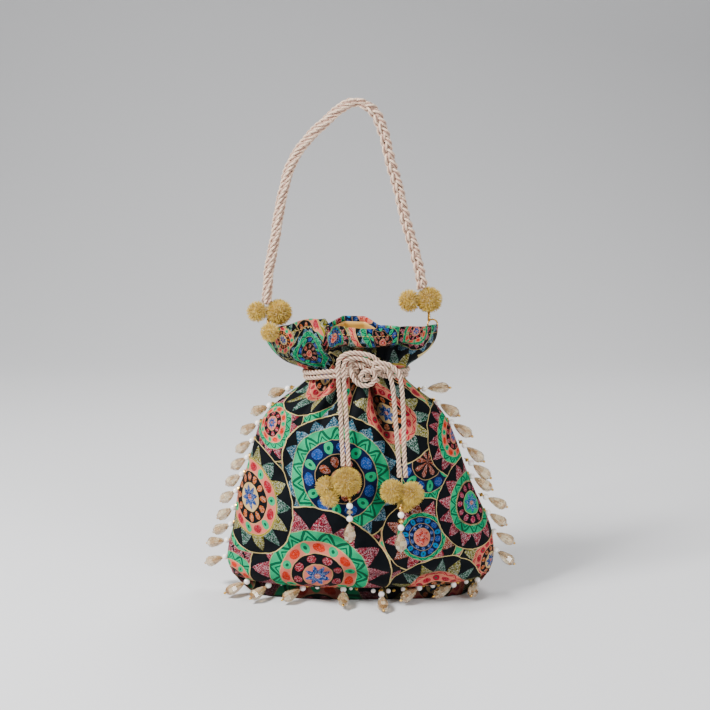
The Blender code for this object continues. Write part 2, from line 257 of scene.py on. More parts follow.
crystalSides = 8

cloth = {
    "unit": 100.0,                # the cloth map counts in steps of this many millimetres
    "fillerSize": 62.0,           # spacing of the rosettes that fill the rest of the cloth
    "fillerRadius": 0.72,         # of that spacing
    "fillerScatter": 0.35,
    "wobble": 2.2,                # millimetres that the printed lines stray
    "wobbleScale": 0.11,
    "threadWidth": 0.0085,        # half of it, as a share of a rosette's radius
    "patchScale": 0.06,
    "glitterSize": 0.55,
    "napSize": 0.25,
    "wear": 0.34,                 # how unevenly light and dark the print is
    "saturation": 1.18,
    "paintedShadeStrength": 0.85,            # how much darker the painted shade makes a deep fold and the turned-under back
}


def repeatAngle(t, angle, count, turn=0.0):
    # -0.5 to 0.5 across each of count repeats round a rosette, and 0 or 1 for every other one.
    turns = t.scaled(angle, t.math("DIVIDE", count, math.tau), turn)
    across = t.minus(t.math("FRACT", turns), 0.5)
    other = t.above(t.math("FRACT", t.times(turns, 0.5)), 0.5)
    return across, other


def ovalMask(t, radius, across, centre, halfHeight, halfWidth):
    a = t.math("DIVIDE", across, halfWidth)
    b = t.math("DIVIDE", t.minus(radius, centre), halfHeight)
    size = t.plus(t.times(a, a), t.times(b, b))
    return t.below(size, 1.0), size


def buildPrint(places):
    # places: centre on the cloth map, radius, kind and turn of each rosette, in millimetres.
    t = Tree("printedVelvet")
    uv = t.node("ShaderNodeUVMap", uv_map="cloth").outputs[0]
    point = t.vector("SCALE", uv, scale=cloth["unit"])
    wobble = t.node("ShaderNodeTexNoise")
    t.put(wobble.inputs["Vector"], point)
    wobble.inputs["Scale"].default_value = cloth["wobbleScale"]
    shift = t.vector("SUBTRACT", wobble.outputs["Color"], (0.5, 0.5, 0.5))
    point = t.vector("ADD", point, t.vector("SCALE", shift, scale=cloth["wobble"]))
    filler = t.voronoi(t.vector("SCALE", point, scale=1 / cloth["fillerSize"]), 1.0,
                       cloth["fillerScatter"])
    centre = t.vector("SCALE", filler["Position"], scale=cloth["fillerSize"])
    local = t.vector("SUBTRACT", point, centre)
    kindOf = t.node("ShaderNodeSeparateColor")
    t.put(kindOf.inputs[0], filler["Color"])
    about = t.node("ShaderNodeCombineXYZ")
    about.inputs[0].default_value = cloth["fillerSize"] * cloth["fillerRadius"]
    t.put(about.inputs[1], kindOf.outputs[0])
    about = about.outputs[0]
    for (x, z), radius, kind, turn in places:
        offset = t.vector("SUBTRACT", point, (x, z, 0))
        inside = t.below(t.vector("LENGTH", offset), radius)
        local = t.mixVector(inside, local, offset)
        about = t.mixVector(inside, about, (radius, (kind + 0.5) / len(rosettes), math.radians(turn)))
    size = t.node("ShaderNodeSeparateXYZ")
    t.put(size.inputs[0], about)
    flat = t.node("ShaderNodeSeparateXYZ")
    t.put(flat.inputs[0], local)
    radius = t.math("DIVIDE", t.vector("LENGTH", local), size.outputs[0])
    angle = t.plus(t.math("ARCTAN2", flat.outputs[1], flat.outputs[0]), size.outputs[2])
    angle = t.plus(angle, math.pi)
    kind = size.outputs[1]

    def byKind(values):
        scale = max(values)
        ramp = t.steps(kind, [(v / scale, v / scale, v / scale, 1) for v in values])
        return t.times(ramp, scale)

    edges = [byKind([r[0][i] for r in rosettes]) for i in range(4)]
    words = [r[1].split() for r in rosettes]
    colours = [t.steps(kind, [paint[w[i]] for w in words]) for i in range(12)]
    counts = [byKind([r[2][i] for r in rosettes]) for i in range(4)]
    flower, flowerGround, dot, dotGround, oval, otherOval, ovalGround = colours[:7]
    zigzag, zigzagGround, tooth, otherTooth, toothGround = colours[7:]

    # the flower in the middle
    petal, _ = repeatAngle(t, angle, counts[0])
    petalEdge = t.times(edges[0], t.scaled(t.size(petal), -0.85, 0.9))
    inFlower = t.below(radius, petalEdge)
    heart = t.below(radius, t.times(edges[0], 0.2))
    colour = t.mix(inFlower, flowerGround, flower)
    colour = t.mix(heart, colour, paint["peach"])
    glitter = t.times(inFlower, 0.8)

    def band(colour, glitter, edge, ground, marks):
        # Everything beyond edge is ground, with marks (mask, colour, glitter) on it.
        beyond = t.above(radius, edge)
        over, shine = ground, 0.0
        for mask, markColour, markGlitter in marks:
            over = t.mix(mask, over, markColour)
            shine = t.math("MAXIMUM", shine, t.times(mask, markGlitter))
        colour = t.mix(beyond, colour, over)
        keep = t.minus(1.0, beyond)
        glitter = t.plus(t.times(glitter, keep), t.times(shine, beyond))
        return colour, glitter

    def middle(a, b):
        return t.scaled(t.minus(b, a), 0.5, a)

    def width(a, b, share):
        return t.times(t.minus(b, a), share)

    across, _ = repeatAngle(t, angle, counts[1])
    dots, _ = ovalMask(t, radius, across, middle(edges[0], edges[1]), width(edges[0], edges[1], 0.36), 0.3)
    colour, glitter = band(colour, glitter, edges[0], dotGround, ((dots, dot, 0.7),))
    across, other = repeatAngle(t, angle, counts[2])
    at, high = middle(edges[1], edges[2]), width(edges[1], edges[2], 0.44)
    ovals, _ = ovalMask(t, radius, across, at, width(edges[1], edges[2], 0.36), 0.44)
    longOvals, ovalSize = ovalMask(t, radius, across, at, high, 0.33)
    mint = t.times(longOvals, other)
    ovals = t.times(ovals, t.minus(1.0, other))
    vein = t.times(mint, t.below(ovalSize, 0.12))
    colour, glitter = band(colour, glitter, edges[1], ovalGround,
                           ((ovals, oval, 0.35), (mint, otherOval, 0.0), (vein, paint["green"], 0.0)))
    across, _ = repeatAngle(t, angle, counts[3])
    depth = t.math("MAXIMUM", t.minus(edges[3], edges[2]), 0.01)
    climb = t.math("DIVIDE", t.minus(radius, edges[2]), depth)
    slope = t.times(t.size(across), 2.0)
    line = t.near(climb, slope, 0.17)
    innerLine = t.near(climb, t.scaled(slope, 0.8, -0.35), 0.08)
    colour, glitter = band(colour, glitter, edges[2], zigzagGround,
                           ((line, zigzag, 0.0), (innerLine, zigzag, 0.0)))
    across, other = repeatAngle(t, angle, counts[3], 0.25)
    climb = t.math("DIVIDE", t.minus(radius, edges[3]), t.minus(0.97, edges[3]))
    teeth = t.below(t.scaled(t.size(across), 1.9, climb), 0.94)
    toothColour = t.mix(other, tooth, otherTooth)
    colour, glitter = band(colour, glitter, edges[3], toothGround, ((teeth, toothColour, 0.9),))

    # outlines: a fine pale line at each band's edge and a raised gold thread at the rosette's own
    lines = t.near(radius, edges[0], 0.007)
    for edge in edges[1:]:
        lines = t.math("MAXIMUM", lines, t.near(radius, edge, 0.006))
    colour = t.mix(t.times(lines, 0.6), colour, paint["cream"])
    thread = t.above(radius, 1 - 2 * cloth["threadWidth"])
    ply = t.math("SINE", t.times(angle, 260.0))
    threadColour = t.mix(t.scaled(ply, 0.2, 0.45), paint["gold"], paint["cream"])
    colour = t.mix(thread, colour, threadColour)

    # glitter flakes with painted glints, a soft nap, worn patches where the print is thin, and painted
    # shade in deep folds and under the bag
    flakes = t.voronoi(point, 1 / cloth["glitterSize"])
    flake = t.node("ShaderNodeSeparateColor")
    t.put(flake.inputs[0], flakes["Color"])
    sparkle = t.above(flake.outputs[0], 0.55)
    # painted glints: some flakes are made pale at random brightness; the same flakes are also partly
    # metallic and smoother
    paintedGlint = t.times(t.times(sparkle, glitter), flake.outputs[1])
    colour = t.mix(t.times(paintedGlint, 0.7), colour, (0.85, 0.9, 0.92, 1))
    dark = t.times(t.below(flake.outputs[0], 0.42), glitter)
    colour = t.mix(t.times(dark, 0.8), colour, paint["night"])
    nap = t.noise(point, 1 / cloth["napSize"], 3.0, 0.6)
    patches = t.noise(point, cloth["patchScale"], 4.0, 0.65)
    fade = t.times(t.minus(patches, 0.5), cloth["wear"] * 2)
    # painted shade: the print is darkened where the cloth lies deep in a fold and where the back turns
    # under the bag
    paintedShade = t.node("ShaderNodeAttribute", attribute_name="paintedShade").outputs["Fac"]
    toneAndPaintedShade = t.plus(t.scaled(nap, 0.9, 0.16), fade)
    toneAndPaintedShade = t.times(toneAndPaintedShade, t.scaled(paintedShade, -cloth["paintedShadeStrength"], 1.0))
    adjust = t.node("ShaderNodeHueSaturation")
    t.put(adjust.inputs["Value"], toneAndPaintedShade)
    adjust.inputs["Saturation"].default_value = cloth["saturation"]
    t.put(adjust.inputs["Color"], colour)
    colour = adjust.outputs[0]
    relief = t.plus(t.times(nap, 0.25), t.times(thread, 1.6))
    relief = t.plus(relief, t.times(t.times(flake.outputs[2], glitter), 0.5))
    rough = t.scaled(paintedGlint, -0.45, 0.74)
    metal = t.times(t.times(sparkle, glitter), 0.45)
    return t.finish(Base_Color=colour, Roughness=rough, Metallic=metal, Sheen_Weight=0.01,
                    Sheen_Roughness=0.45, Specular_IOR_Level=0.10,
                    Normal=t.bump(relief, 0.0004, 0.8))


def buildCordFinish():
    # Satin cord: the map's first number goes round the cord, the second along it in centimetres.
    t = Tree("blushCord")
    uv = t.node("ShaderNodeSeparateXYZ")
    t.put(uv.inputs[0], t.node("ShaderNodeUVMap", uv_map="strand").outputs[0])
    place = t.objectPlace()
    fine = t.scaled(uv.outputs[0], math.tau * 42, t.times(uv.outputs[1], 46.0))
    fine = t.math("SINE", fine)
    ply = t.math("COSINE", t.times(uv.outputs[0], math.tau * 3))
    valley = t.scaled(ply, 0.5, 0.5)
    slub = t.noise(place, 260.0, 3.0)
    light = t.scaled(fine, 0.10, t.scaled(slub, 0.5, 0.28))
    colour = t.mix(light, srgb(226, 182, 152), srgb(255, 232, 202))
    # painted shade in the grooves between the three plies
    colour = t.mix(t.times(t.minus(1.0, valley), 0.85), colour, srgb(142, 84, 66))
    rough = t.scaled(slub, 0.25, 0.30)
    return t.finish(Base_Color=colour, Roughness=rough, Sheen_Weight=0.3, Anisotropic=0.4,
                    Normal=t.bump(fine, 0.00012, 0.7))


def buildWoolFinish():
    t = Tree("mustardWool")
    place = t.objectPlace()
    tuft = t.noise(place, 900.0, 3.0)
    patch = t.noise(place, 120.0, 2.0)
    share = t.scaled(tuft, 1.6, t.scaled(patch, 0.8, -0.75), clamp=True)
    colour = t.mix(share, srgb(156, 118, 14), srgb(236, 206, 84))
    return t.finish(Base_Color=colour, Roughness=t.scaled(tuft, 0.1, 0.85),
                    Sheen_Weight=0.5, Normal=t.bump(tuft, 0.0003, 0.6))


def buildPearlFinish():
    t = Tree("pearl")
    place = t.objectPlace()
    cloud = t.noise(place, 180.0, 2.0)
    colour = t.mix(cloud, srgb(236, 226, 222), srgb(250, 247, 240))
    return t.finish(Base_Color=colour, Roughness=t.scaled(cloud, 0.12, 0.2),
                    Coat_Weight=0.8, Coat_Roughness=0.06, Subsurface_Weight=0.15,
                    Subsurface_Scale=0.002)


def buildCrystalFinish():
    # Champagne glass; each facet is painted its own light or amber tone at random, as painted light and
    # reflection on the facets.
    t = Tree("champagneCrystal")
    uv = t.node("ShaderNodeSeparateXYZ")
    t.put(uv.inputs[0], t.node("ShaderNodeUVMap", uv_map="bead").outputs[0])
    facet = t.node("ShaderNodeCombineXYZ")
    t.put(facet.inputs[0], t.math("FLOOR", t.times(uv.outputs[0], crystalSides)))
    t.put(facet.inputs[1], t.math("FLOOR", uv.outputs[1]))
    paintedFacetLight = t.node("ShaderNodeTexWhiteNoise", noise_dimensions="2D")
    t.put(paintedFacetLight.inputs["Vector"], facet.outputs[0])
    cloud = t.noise(t.objectPlace(), 130.0, 2.0)
    light = t.scaled(cloud, 0.3, t.times(paintedFacetLight.outputs[0], 0.85))
    light = t.math("POWER", light, 1.4, clamp=True)
    colour = t.mix(light, srgb(166, 112, 44), srgb(255, 240, 204))
    return t.finish(Base_Color=colour, Roughness=t.scaled(cloud, 0.05, 0.02),
                    Transmission_Weight=0.68, IOR=1.56, Coat_Weight=1.0, Coat_Roughness=0.02)


def buildGoldFinish():
    t = Tree("goldBead")
    place = t.objectPlace()
    worn = t.noise(place, 400.0, 3.0)
    colour = t.mix(worn, srgb(168, 116, 44), srgb(238, 196, 104))
    return t.finish(Base_Color=colour, Metallic=1.0, Roughness=t.scaled(worn, 0.2, 0.18))


def buildGoldThreadFinish():
    t = Tree("goldThread")
    place = t.objectPlace()
    fibre = t.noise(place, 1500.0, 2.0)
    colour = t.mix(fibre, srgb(150, 104, 48), srgb(226, 184, 104))
    return t.finish(Base_Color=colour, Metallic=0.3, Roughness=t.scaled(fibre, 0.2, 0.4),
                    Normal=t.bump(fibre, 0.0001, 0.5))


def buildLiningFinish():
    t = Tree("liningSatin")
    uv = t.node("ShaderNodeUVMap", uv_map="cloth").outputs[0]
    point = t.vector("SCALE", uv, scale=cloth["unit"])
    stretch = t.node("ShaderNodeMapping")
    t.put(stretch.inputs[0], point)
    stretch.inputs["Scale"].default_value = (1.0, 6.0, 1.0)
    weave = t.noise(stretch.outputs[0], 1.4, 2.0)
    cloud = t.noise(point, 0.05, 3.0)
    colour = t.mix(t.scaled(weave, 0.35, t.times(cloud, 0.5)),
                   srgb(176, 128, 48), srgb(224, 180, 92))
    return t.finish(Base_Color=colour, Roughness=t.scaled(weave, 0.15, 0.36),
                    Sheen_Weight=0.2, Anisotropic=0.5, Normal=t.bump(weave, 0.0001, 0.4))


def smoothCurve(points, spacing):
    # Even steps along a smooth curve through the points.
    p = np.array(points, float)
    p = np.vstack([2 * p[0] - p[1], p, 2 * p[-1] - p[-2]])
    fine = []
    for i in range(1, len(p) - 2):
        s = np.linspace(0, 1, 24, endpoint=False)[:, None]
        a, b, c, d = p[i - 1], p[i], p[i + 1], p[i + 2]
        fine.append(0.5 * (2 * b + (c - a) * s + (2 * a - 5 * b + 4 * c - d) * s ** 2
                           + (3 * b - a - 3 * c + d) * s ** 3))
    fine = np.vstack([*fine, p[-2:-1]])
    along = np.r_[0, np.cumsum(np.linalg.norm(np.diff(fine, axis=0), axis=1))]
    count = max(4, int(round(along[-1] / spacing)))
    at = np.linspace(0, along[-1], count + 1)
    return np.column_stack([np.interp(at, along, fine[:, k]) for k in range(3)])


def carriedFrames(path, closed=False):
    # Two directions square to the path at each point, carried along it without twist.
    tangent = np.gradient(path, axis=0)
    if closed:
        tangent = np.roll(path, -1, axis=0) - np.roll(path, 1, axis=0)
    tangent /= np.linalg.norm(tangent, axis=1)[:, None]
    start = np.array((0, -1.0, 0)) if abs(tangent[0][1]) < 0.9 else np.array((1.0, 0, 0))
    sides = []
    side = start
    for direction in tangent:
        side = side - direction * side.dot(direction)
        side /= np.linalg.norm(side)
        sides.append(side)
    sides = np.array(sides)
    return tangent, sides, np.cross(tangent, sides)


def faceOutward(mesh):
    b = bmesh.new()
    b.from_mesh(mesh)
    bmesh.ops.recalc_face_normals(b, faces=b.faces)
    b.to_mesh(mesh)
    b.free()


class Shape:
    # Gathers points and faces, in millimetres, with a map and a material number for each face.

    def __init__(self):
        self.points, self.faces, self.maps, self.finishes, self.smooth = [], [], [], [], []

    def grid(self, rows, finish=0, closedRound=True, capped=True, mapOf=None, smooth=True):
        # Joins rings of points, each outward-facing when it turns right-handed about the path.
        base, across = len(self.points), len(rows[0])
        for row in rows:
            self.points.extend(tuple(p) for p in row)
        count = across if closedRound else across - 1
        for i in range(len(rows) - 1):
            for j in range(count):
                k = (j + 1) % across
                corners = ((i, j), (i, k), (i + 1, k), (i + 1, j))
                self.faces.append([base + a * across + b for a, b in corners])
                turn = ((i, j), (i, j + 1), (i + 1, j + 1), (i + 1, j))
                self.maps.append([mapOf(a, b) if mapOf else (b / across, a) for a, b in turn])
                self.finishes.append(finish)
                self.smooth.append(smooth)
        if capped:
            for i, order in ((0, range(across)[::-1]), (len(rows) - 1, range(across))):
                middle = len(self.points)
                self.points.append(tuple(np.mean(np.array(rows[i]), axis=0)))
                order = list(order)
                for a, b in zip(order, order[1:] + order[:1]):
                    self.faces.append([base + i * across + a, base + i * across + b, middle])
                    self.maps.append([(a / across, i), (b / across, i), (0.5, i)])
                    self.finishes.append(finish)
                    self.smooth.append(smooth)

    def bridge(self, first, second, count, mapOf):
        # Closes the gap between two rings of points, given the number of the first point of each.
        for j in range(count):
            k = (j + 1) % count
            self.faces.append([first + j, first + k, second + k, second + j])
            self.maps.append([mapOf(b) for b in (j, j + 1, j + 1, j)])
            self.finishes.append(0)
            self.smooth.append(True)

    def turned(self, place, direction, profile, sides, finish, smooth=True, turn=0.0):
        # A turned form: profile is (distance along, radius), from place in direction.
        direction = Vector(direction).normalized()
        side = direction.orthogonal().normalized()
        other = direction.cross(side)
        rows = []
        for along, radius in profile:
            rows.append([tuple(Vector(place) + direction * along + radius * (
                side * math.cos(a) + other * math.sin(a)))
                for a in (math.tau * j / sides + turn for j in range(sides))])
        self.grid(rows, finish, smooth=smooth)

    def build(self, name, materials, mapName):
        mesh = bpy.data.meshes.new(name)
        mesh.from_pydata([tuple(c * mm for c in p) for p in self.points], [], self.faces)
        mesh.uv_layers.new(name=mapName)
        flat = [c for face in self.maps for corner in face for c in corner]
        mesh.uv_layers[mapName].data.foreach_set("uv", flat)
        for material in materials:
            mesh.materials.append(material)
        mesh.polygons.foreach_set("material_index", self.finishes)
        mesh.polygons.foreach_set("use_smooth", self.smooth)
        mesh.validate()
        faceOutward(mesh)
        made = bpy.data.objects.new(name, mesh)
        collection.objects.link(made)
        return made


cord = {
    "sides": 24,
    "spacing": 0.8,
    "lay": 11.5,                  # length of one full turn of a ply, in millimetres
    "coreShare": 0.40,
    "plyShare": 0.455,            # radius of one ply
}


def pliedRadius(angle):
    # The outline of three round plies laid together, for a cord of radius 1.
    ply = cord["plyShare"]
    off = (angle + math.pi / 3) % (math.tau / 3) - math.pi / 3
    reach = ply * ply - ((1 - ply) * math.sin(off)) ** 2
    return max(cord["coreShare"], (1 - ply) * math.cos(off) + math.sqrt(max(reach, 0)))


def addTwistedCord(shape, path, radius, lay=None, closed=False, finish=0, turn=0.0, sides=None):
    # Sweeps three twisted plies along the path, in millimetres, laid to lean right.
    lay, sides = lay or cord["lay"], sides or cord["sides"]
    _, side, other = carriedFrames(path, closed)
    along = np.r_[0, np.cumsum(np.linalg.norm(np.diff(path, axis=0), axis=1))]
    rows = []
    for i, centre in enumerate(path):
        ring = []
        for j in range(sides):
            a = math.tau * j / sides + math.tau * along[i] / lay + turn
            r = radius * pliedRadius(math.tau * j / sides)
            ring.append(centre + r * (math.cos(a) * side[i] + math.sin(a) * other[i]))
        rows.append(ring)
    if closed:
        rows.append(rows[0])
    shape.grid(rows, finish, capped=not closed,
               mapOf=lambda a, b: (b / sides, along[min(a, len(along) - 1)] / 10))


def own(made, body, nodes):
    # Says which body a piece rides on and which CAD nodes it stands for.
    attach(made, body)
    if nodes:
        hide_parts(*nodes)
    return made


# Levels from the rim down, in millimetres: the left seam (x, z), the right seam (x, z), the middle of
# the front (y, z), the middle of the back (y, z), and how square the level is.
levels = (
    ((-83, 229), (64, 238), (-38, 243), (32, 242), 3),
    ((-80, 219), (62.5, 226), (-36, 231), (30.5, 230), 3),
    ((-73, 206), (55, 211), (-31, 217), (28, 215), 3),
    ((-57, 199), (46.5, 201.5), (-26.5, 206.5), (24.5, 204.5), 2),
    ((-54, 190), (44, 192), (-25.5, 197), (23.5, 195), 2),
    ((-63, 179), (51, 181), (-30, 182), (28, 180), 2),
    ((-77.5, 166), (62, 170), (-36, 162), (34, 161), 2),
    ((-88, 150), (73, 155), (-41, 141), (39, 140), 2),
    ((-93.5, 132), (81, 136), (-45.5, 118), (43.5, 117), 2),
    ((-99.5, 112), (89, 113), (-49, 95), (47, 94), 2),
    ((-107, 91), (98, 91), (-51.5, 72), (49.5, 70), 2),
    ((-111.5, 62), (110.5, 64), (-52, 50), (50, 44), 2.5),
    ((-116, 44), (114.5, 46), (-48, 33), (47, 18), 3),
    ((-117.5, 29), (115, 30), (-41, 22), (34, -6), 6),
    ((-114, 19), (112, 20), (-32, 15.5), (-17, -6), 6),
    ((-108, 13), (104.5, 13), (-24, 12), (-24, 12), 3),
)
neckPinch = {"x": -6.0, "z": 197.0, "reach": 15.0, "share": 0.17}

pouch = {
    "columns": 200,               # across one panel
    "neckHeight": 198.0,
    "pleatFade": 1.4,
    "pleatSpread": 0.9,           # how much wider a pleat gets as it runs out
    "frillStart": 4.0,            # above the neck, and how far its waves take to grow
    "frillGrowth": 36.0,
    "hemFade": 1.6,               # levels over which the relief dies away at the hem
    "rimStart": 206.0,            # height from which the frill rises and leans, and over how much
    "rimReach": 34.0,
    "rimEase": 1.4,
    "lowest": 0.3,
    "foldReach": 9,               # points to each side that a fold's depth is judged against
    "rows": 176,
    "innerEvery": 4,
    "thickness": 0.8,
    "wrinkle": 1.1,
    "dentDepth": 2.2,
    "foldDepth": 3.6,
    "underShadeStart": 13.6,           # level from which the back, turned under the bag, is painted in shade
    "pleatDepth": 1.8,
    # The frill at the rim, by x: how far the front stands up, and how far the back leans forward
    # and drops, in millimetres.
    "frontRise": ((-84, 0), (-62, 3), (-42, 6), (-30, 7), (-26.5, 0.5), (66, 0)),
    "backLean": ((-84, 0), (-60, 22), (-30, 34), (-16, 16), (2, 12), (16, 26), (40, 26), (66, 0)),
    "backDrop": ((-84, 0), (-30, 4), (-16, 0), (4, 1), (14, 6), (50, 5), (66, 0)),
    # Pleats that the drawstring gathers: place across the front, depth and half width in millimetres
    # at the neck, how far they run down, and how far up.
    "frontPleats": (
        (-0.86, 2.2, 3.0, 30, 30), (-0.70, 3.2, 3.4, 44, 26), (-0.54, 2.4, 3.0, 34, 34),
        (-0.40, 3.6, 3.2, 56, 22), (-0.25, 2.6, 2.8, 36, 30), (-0.08, 3.4, 3.0, 50, 24),
        (0.11, 2.4, 3.0, 30, 30), (0.37, 7.5, 4.8, 80, 22), (0.52, 2.2, 2.8, 36, 22),
        (0.66, 3.4, 3.2, 46, 32), (0.82, 2.4, 3.0, 32, 26),
    ),
    "backPleats": (
        (-0.84, 2.6, 3.2, 38, 28), (-0.66, 3.2, 3.2, 48, 32), (-0.47, 2.4, 3.0, 32, 24),
        (-0.28, 3.8, 3.6, 58, 30), (-0.10, 2.6, 3.0, 36, 34), (0.10, 3.4, 3.4, 52, 24),
        (0.30, 2.6, 3.0, 34, 32), (0.49, 3.6, 3.4, 54, 28), (0.67, 2.4, 3.0, 36, 30),
        (0.84, 3.0, 3.2, 42, 24),
    ),
    # Waves of the frill: place across, height and half width in millimetres at the rim.
    "frontWaves": (
        (-0.80, 3.2, 10), (-0.52, -3.0, 9), (-0.32, 3.4, 9), (-0.14, -4.4, 7),
        (0.22, 3.0, 15), (0.62, -2.4, 10), (0.82, 2.8, 9),
    ),
    "backWaves": (
        (-0.78, 3.4, 11), (-0.48, -4.0, 10), (-0.18, 3.8, 11), (0.12, -3.6, 10),
        (0.42, 3.6, 10), (0.72, -3.2, 9),
    ),
    # Long soft dents that the filling leaves lower down: x, z, lean in degrees, half length, half
    # width, depth.
    "dents": (
        (-62, 128, 62, 34, 7, 2.2), (-30, 62, 12, 36, 9, 1.6), (42, 92, -64, 38, 8, 2.0),
        (84, 66, 70, 26, 7, 1.8), (8, 30, -6, 46, 7, 1.6), (-88, 46, 40, 24, 6, 1.6),
        (62, 28, 14, 34, 6, 1.4), (14, 118, 88, 44, 8, 2.0),
    ),
}


def levelAt(s):
    # The level s, between the given ones, on a smooth curve through them.
    table = np.array([[*a, *b, *c, *d, e] for a, b, c, d, e in levels], float)
    i = min(int(s), len(levels) - 2)
    t = s - i
    a, b = table[max(i - 1, 0)], table[i]
    c, d = table[i + 1], table[min(i + 2, len(levels) - 1)]
    return 0.5 * (2 * b + (c - a) * t + (2 * a - 5 * b + 4 * c - d) * t * t
                  + (3 * b - a - 3 * c + d) * t ** 3)


def panelPoint(level, u, front):
    leftX, leftZ, rightX, rightZ, frontY, frontZ, backY, backZ, square = level
    y, z = (frontY, frontZ) if front else (backY, backZ)
    share = (u + 1) / 2
    seam = leftZ + (rightZ - leftZ) * share
    return np.array((leftX + (rightX - leftX) * share, y * max(1 - abs(u) ** 2.2, 0) ** 0.6,
                     max(seam + (z - seam) * (1 - abs(u) ** square), 0)))


def ringPlaces(columns):
    # (u, is front) for each point round the pouch, from the left seam along the front.
    spread = [0.5 * (2 * k / columns - 1) - 0.5 * math.cos(math.pi * k / columns)
              for k in range(columns + 1)]
    return ([(u, True) for u in spread[:-1]] + [(-u, False) for u in spread[:-1]])


# The front of the frill folds over to the right of its box fold, with a hollow under the fold.
flap = {
    "left": -27.0, "right": 44.0, "hem": 27.0, "stand": 5.5, "start": 6.0,
    "leftEdge": 0.7, "rightEdge": 5.0, "hemEdge": 1.2,      # how softly each edge ends
    "hollow": 11.0, "deepest": 9.0, "hollowX": 20.0, "hollowWidth": 25.0, "hollowHeight": 8.0,
}


def bell(distance, width):
    return math.exp(-(distance / width) ** 2)


def pinched(x, z):
    # The drawstring pulls the neck in from both sides.
    share = neckPinch["share"] * bell(z - neckPinch["z"], neckPinch["reach"])
    return neckPinch["x"] + (x - neckPinch["x"]) * (1 - share)


def pouchRelief(point, u, front, halfWidth):
    # How far the cloth stands out from the plain form here, in millimetres.
    x, _, z = point
    away = z - pouch["neckHeight"]
    relief = 0.0
    for place, depth, width, down, up in pouch["frontPleats" if front else "backPleats"]:
        reach = up if away > 0 else down
        fade = math.exp(-(away / reach) ** 2 * pouch["pleatFade"])
        spreadOut = width * (1 + pouch["pleatSpread"] * min(abs(away) / reach, 1.4))
        drift = place + (0.05 * math.sin(place * 19 + z * 0.05) if away < 0 else 0.0)
        relief -= pouch["pleatDepth"] * depth * fade * bell((u - drift) * halfWidth, spreadOut)
    frill = min(max((away - pouch["frillStart"]) / pouch["frillGrowth"], 0), 1.0)
    for place, height, width in pouch["frontWaves" if front else "backWaves"]:
        relief += height * frill * bell((u - place) * halfWidth, width)
    if front:
        for dentX, dentZ, lean, long, wide, deep in pouch["dents"]:
            c, sn = math.cos(math.radians(lean)), math.sin(math.radians(lean))
            along = (x - dentX) * c + (z - dentZ) * sn
            across = (z - dentZ) * c - (x - dentX) * sn
            relief -= pouch["dentDepth"] * deep * bell(along, long) * bell(across, wide)
    crumple = noise.noise(Vector((x * 0.035, z * 0.05, 3.0 if front else 9.0)))
    small = noise.noise(Vector((x * 0.13, z * 0.09, 5.0 if front else 11.0)))
    relief += pouch["wrinkle"] * (1.6 * crumple + 0.7 * small)
    # the frill's box fold: a flap on the right that lies over the cloth left of it
    if front and away > flap["start"]:
        step = 1 / (1 + math.exp(-(x - flap["left"]) / flap["leftEdge"]))
        end = 1 / (1 + math.exp((x - flap["right"]) / flap["rightEdge"]))
        over = 1 / (1 + math.exp(-(away - flap["hem"]) / flap["hemEdge"]))
        relief += flap["stand"] * step * end * over
        relief -= flap["hollow"] * bell(x - flap["hollowX"], flap["hollowWidth"]) * bell(
            away - flap["hem"] + flap["deepest"], flap["hollowHeight"])
    return relief * (1 - abs(u) ** 5)


def alongTable(table, x):
    return float(np.interp(x, [a for a, _ in table], [b for _, b in table]))


def pouchGrid():
    places = ringPlaces(pouch["columns"])
    last = len(levels) - 1
    rows = np.linspace(0, last, pouch["rows"] + 1)
    plain = np.array([[panelPoint(levelAt(s), u, front) for u, front in places] for s in rows])
    around = np.roll(plain, -1, axis=1) - np.roll(plain, 1, axis=1)
    down = np.gradient(plain, axis=0)
    normal = np.cross(down, around)
    normal /= np.maximum(np.linalg.norm(normal, axis=2), 1e-9)[:, :, None]
    relief = np.zeros(plain.shape[:2])
    for i in range(len(rows)):
        half = (plain[i, pouch["columns"]][0] - plain[i, 0][0]) / 2
        for j, (u, front) in enumerate(places):
            relief[i, j] = pouchRelief(plain[i, j], u, front, half)
    fade = np.clip((last - rows) / pouch["hemFade"], 0, 1)[:, None]
    grid = plain + normal * (relief * fade)[:, :, None]
    for j, (_, front) in enumerate(places):
        for i in range(len(rows)):
            grid[i, j, 0] = pinched(grid[i, j, 0], plain[i, j, 2])
            x = plain[i, j, 0]
            share = min(max((plain[i, j, 2] - pouch["rimStart"]) / pouch["rimReach"], 0), 1)
            share **= pouch["rimEase"]
            if share > 0 and front:
                grid[i, j, 2] += share * alongTable(pouch["frontRise"], x)
            elif share > 0:
                grid[i, j, 1] -= share * alongTable(pouch["backLean"], x)
                grid[i, j, 2] -= share * alongTable(pouch["backDrop"], x)
    grid[:, :, 2] = np.maximum(grid[:, :, 2], pouch["lowest"])
    around = np.roll(grid, -2, axis=1) - np.roll(grid, 2, axis=1)
    normal = np.cross(np.gradient(grid, axis=0), around)
    normal /= np.maximum(np.linalg.norm(normal, axis=2), 1e-9)[:, :, None]
    # painted shade for the print: deep folds, by how far each point lies below the cloth beside it, and
    # the back where it turns under the bag
    reach = pouch["foldReach"]
    span = 2 * reach + 1
    near = sum(np.roll(relief, shift, axis=1) for shift in range(-reach, reach + 1)) / span
    tall = np.pad(relief, ((reach, reach), (0, 0)), mode="edge")
    above = sum(tall[shift:shift + len(relief)] for shift in range(span)) / span
    paintedShade = np.clip((np.maximum(near, above) - relief) / pouch["foldDepth"], 0, 1) * fade
    turnedUnderShade = np.clip((rows - pouch["underShadeStart"]) / 0.5, 0, 1)[:, None]
    behind = np.array([0.0 if front else 1.0 for _, front in places])[None, :]
    paintedShade = np.maximum(paintedShade, turnedUnderShade * behind)
    return rows, places, grid, normal, paintedShade


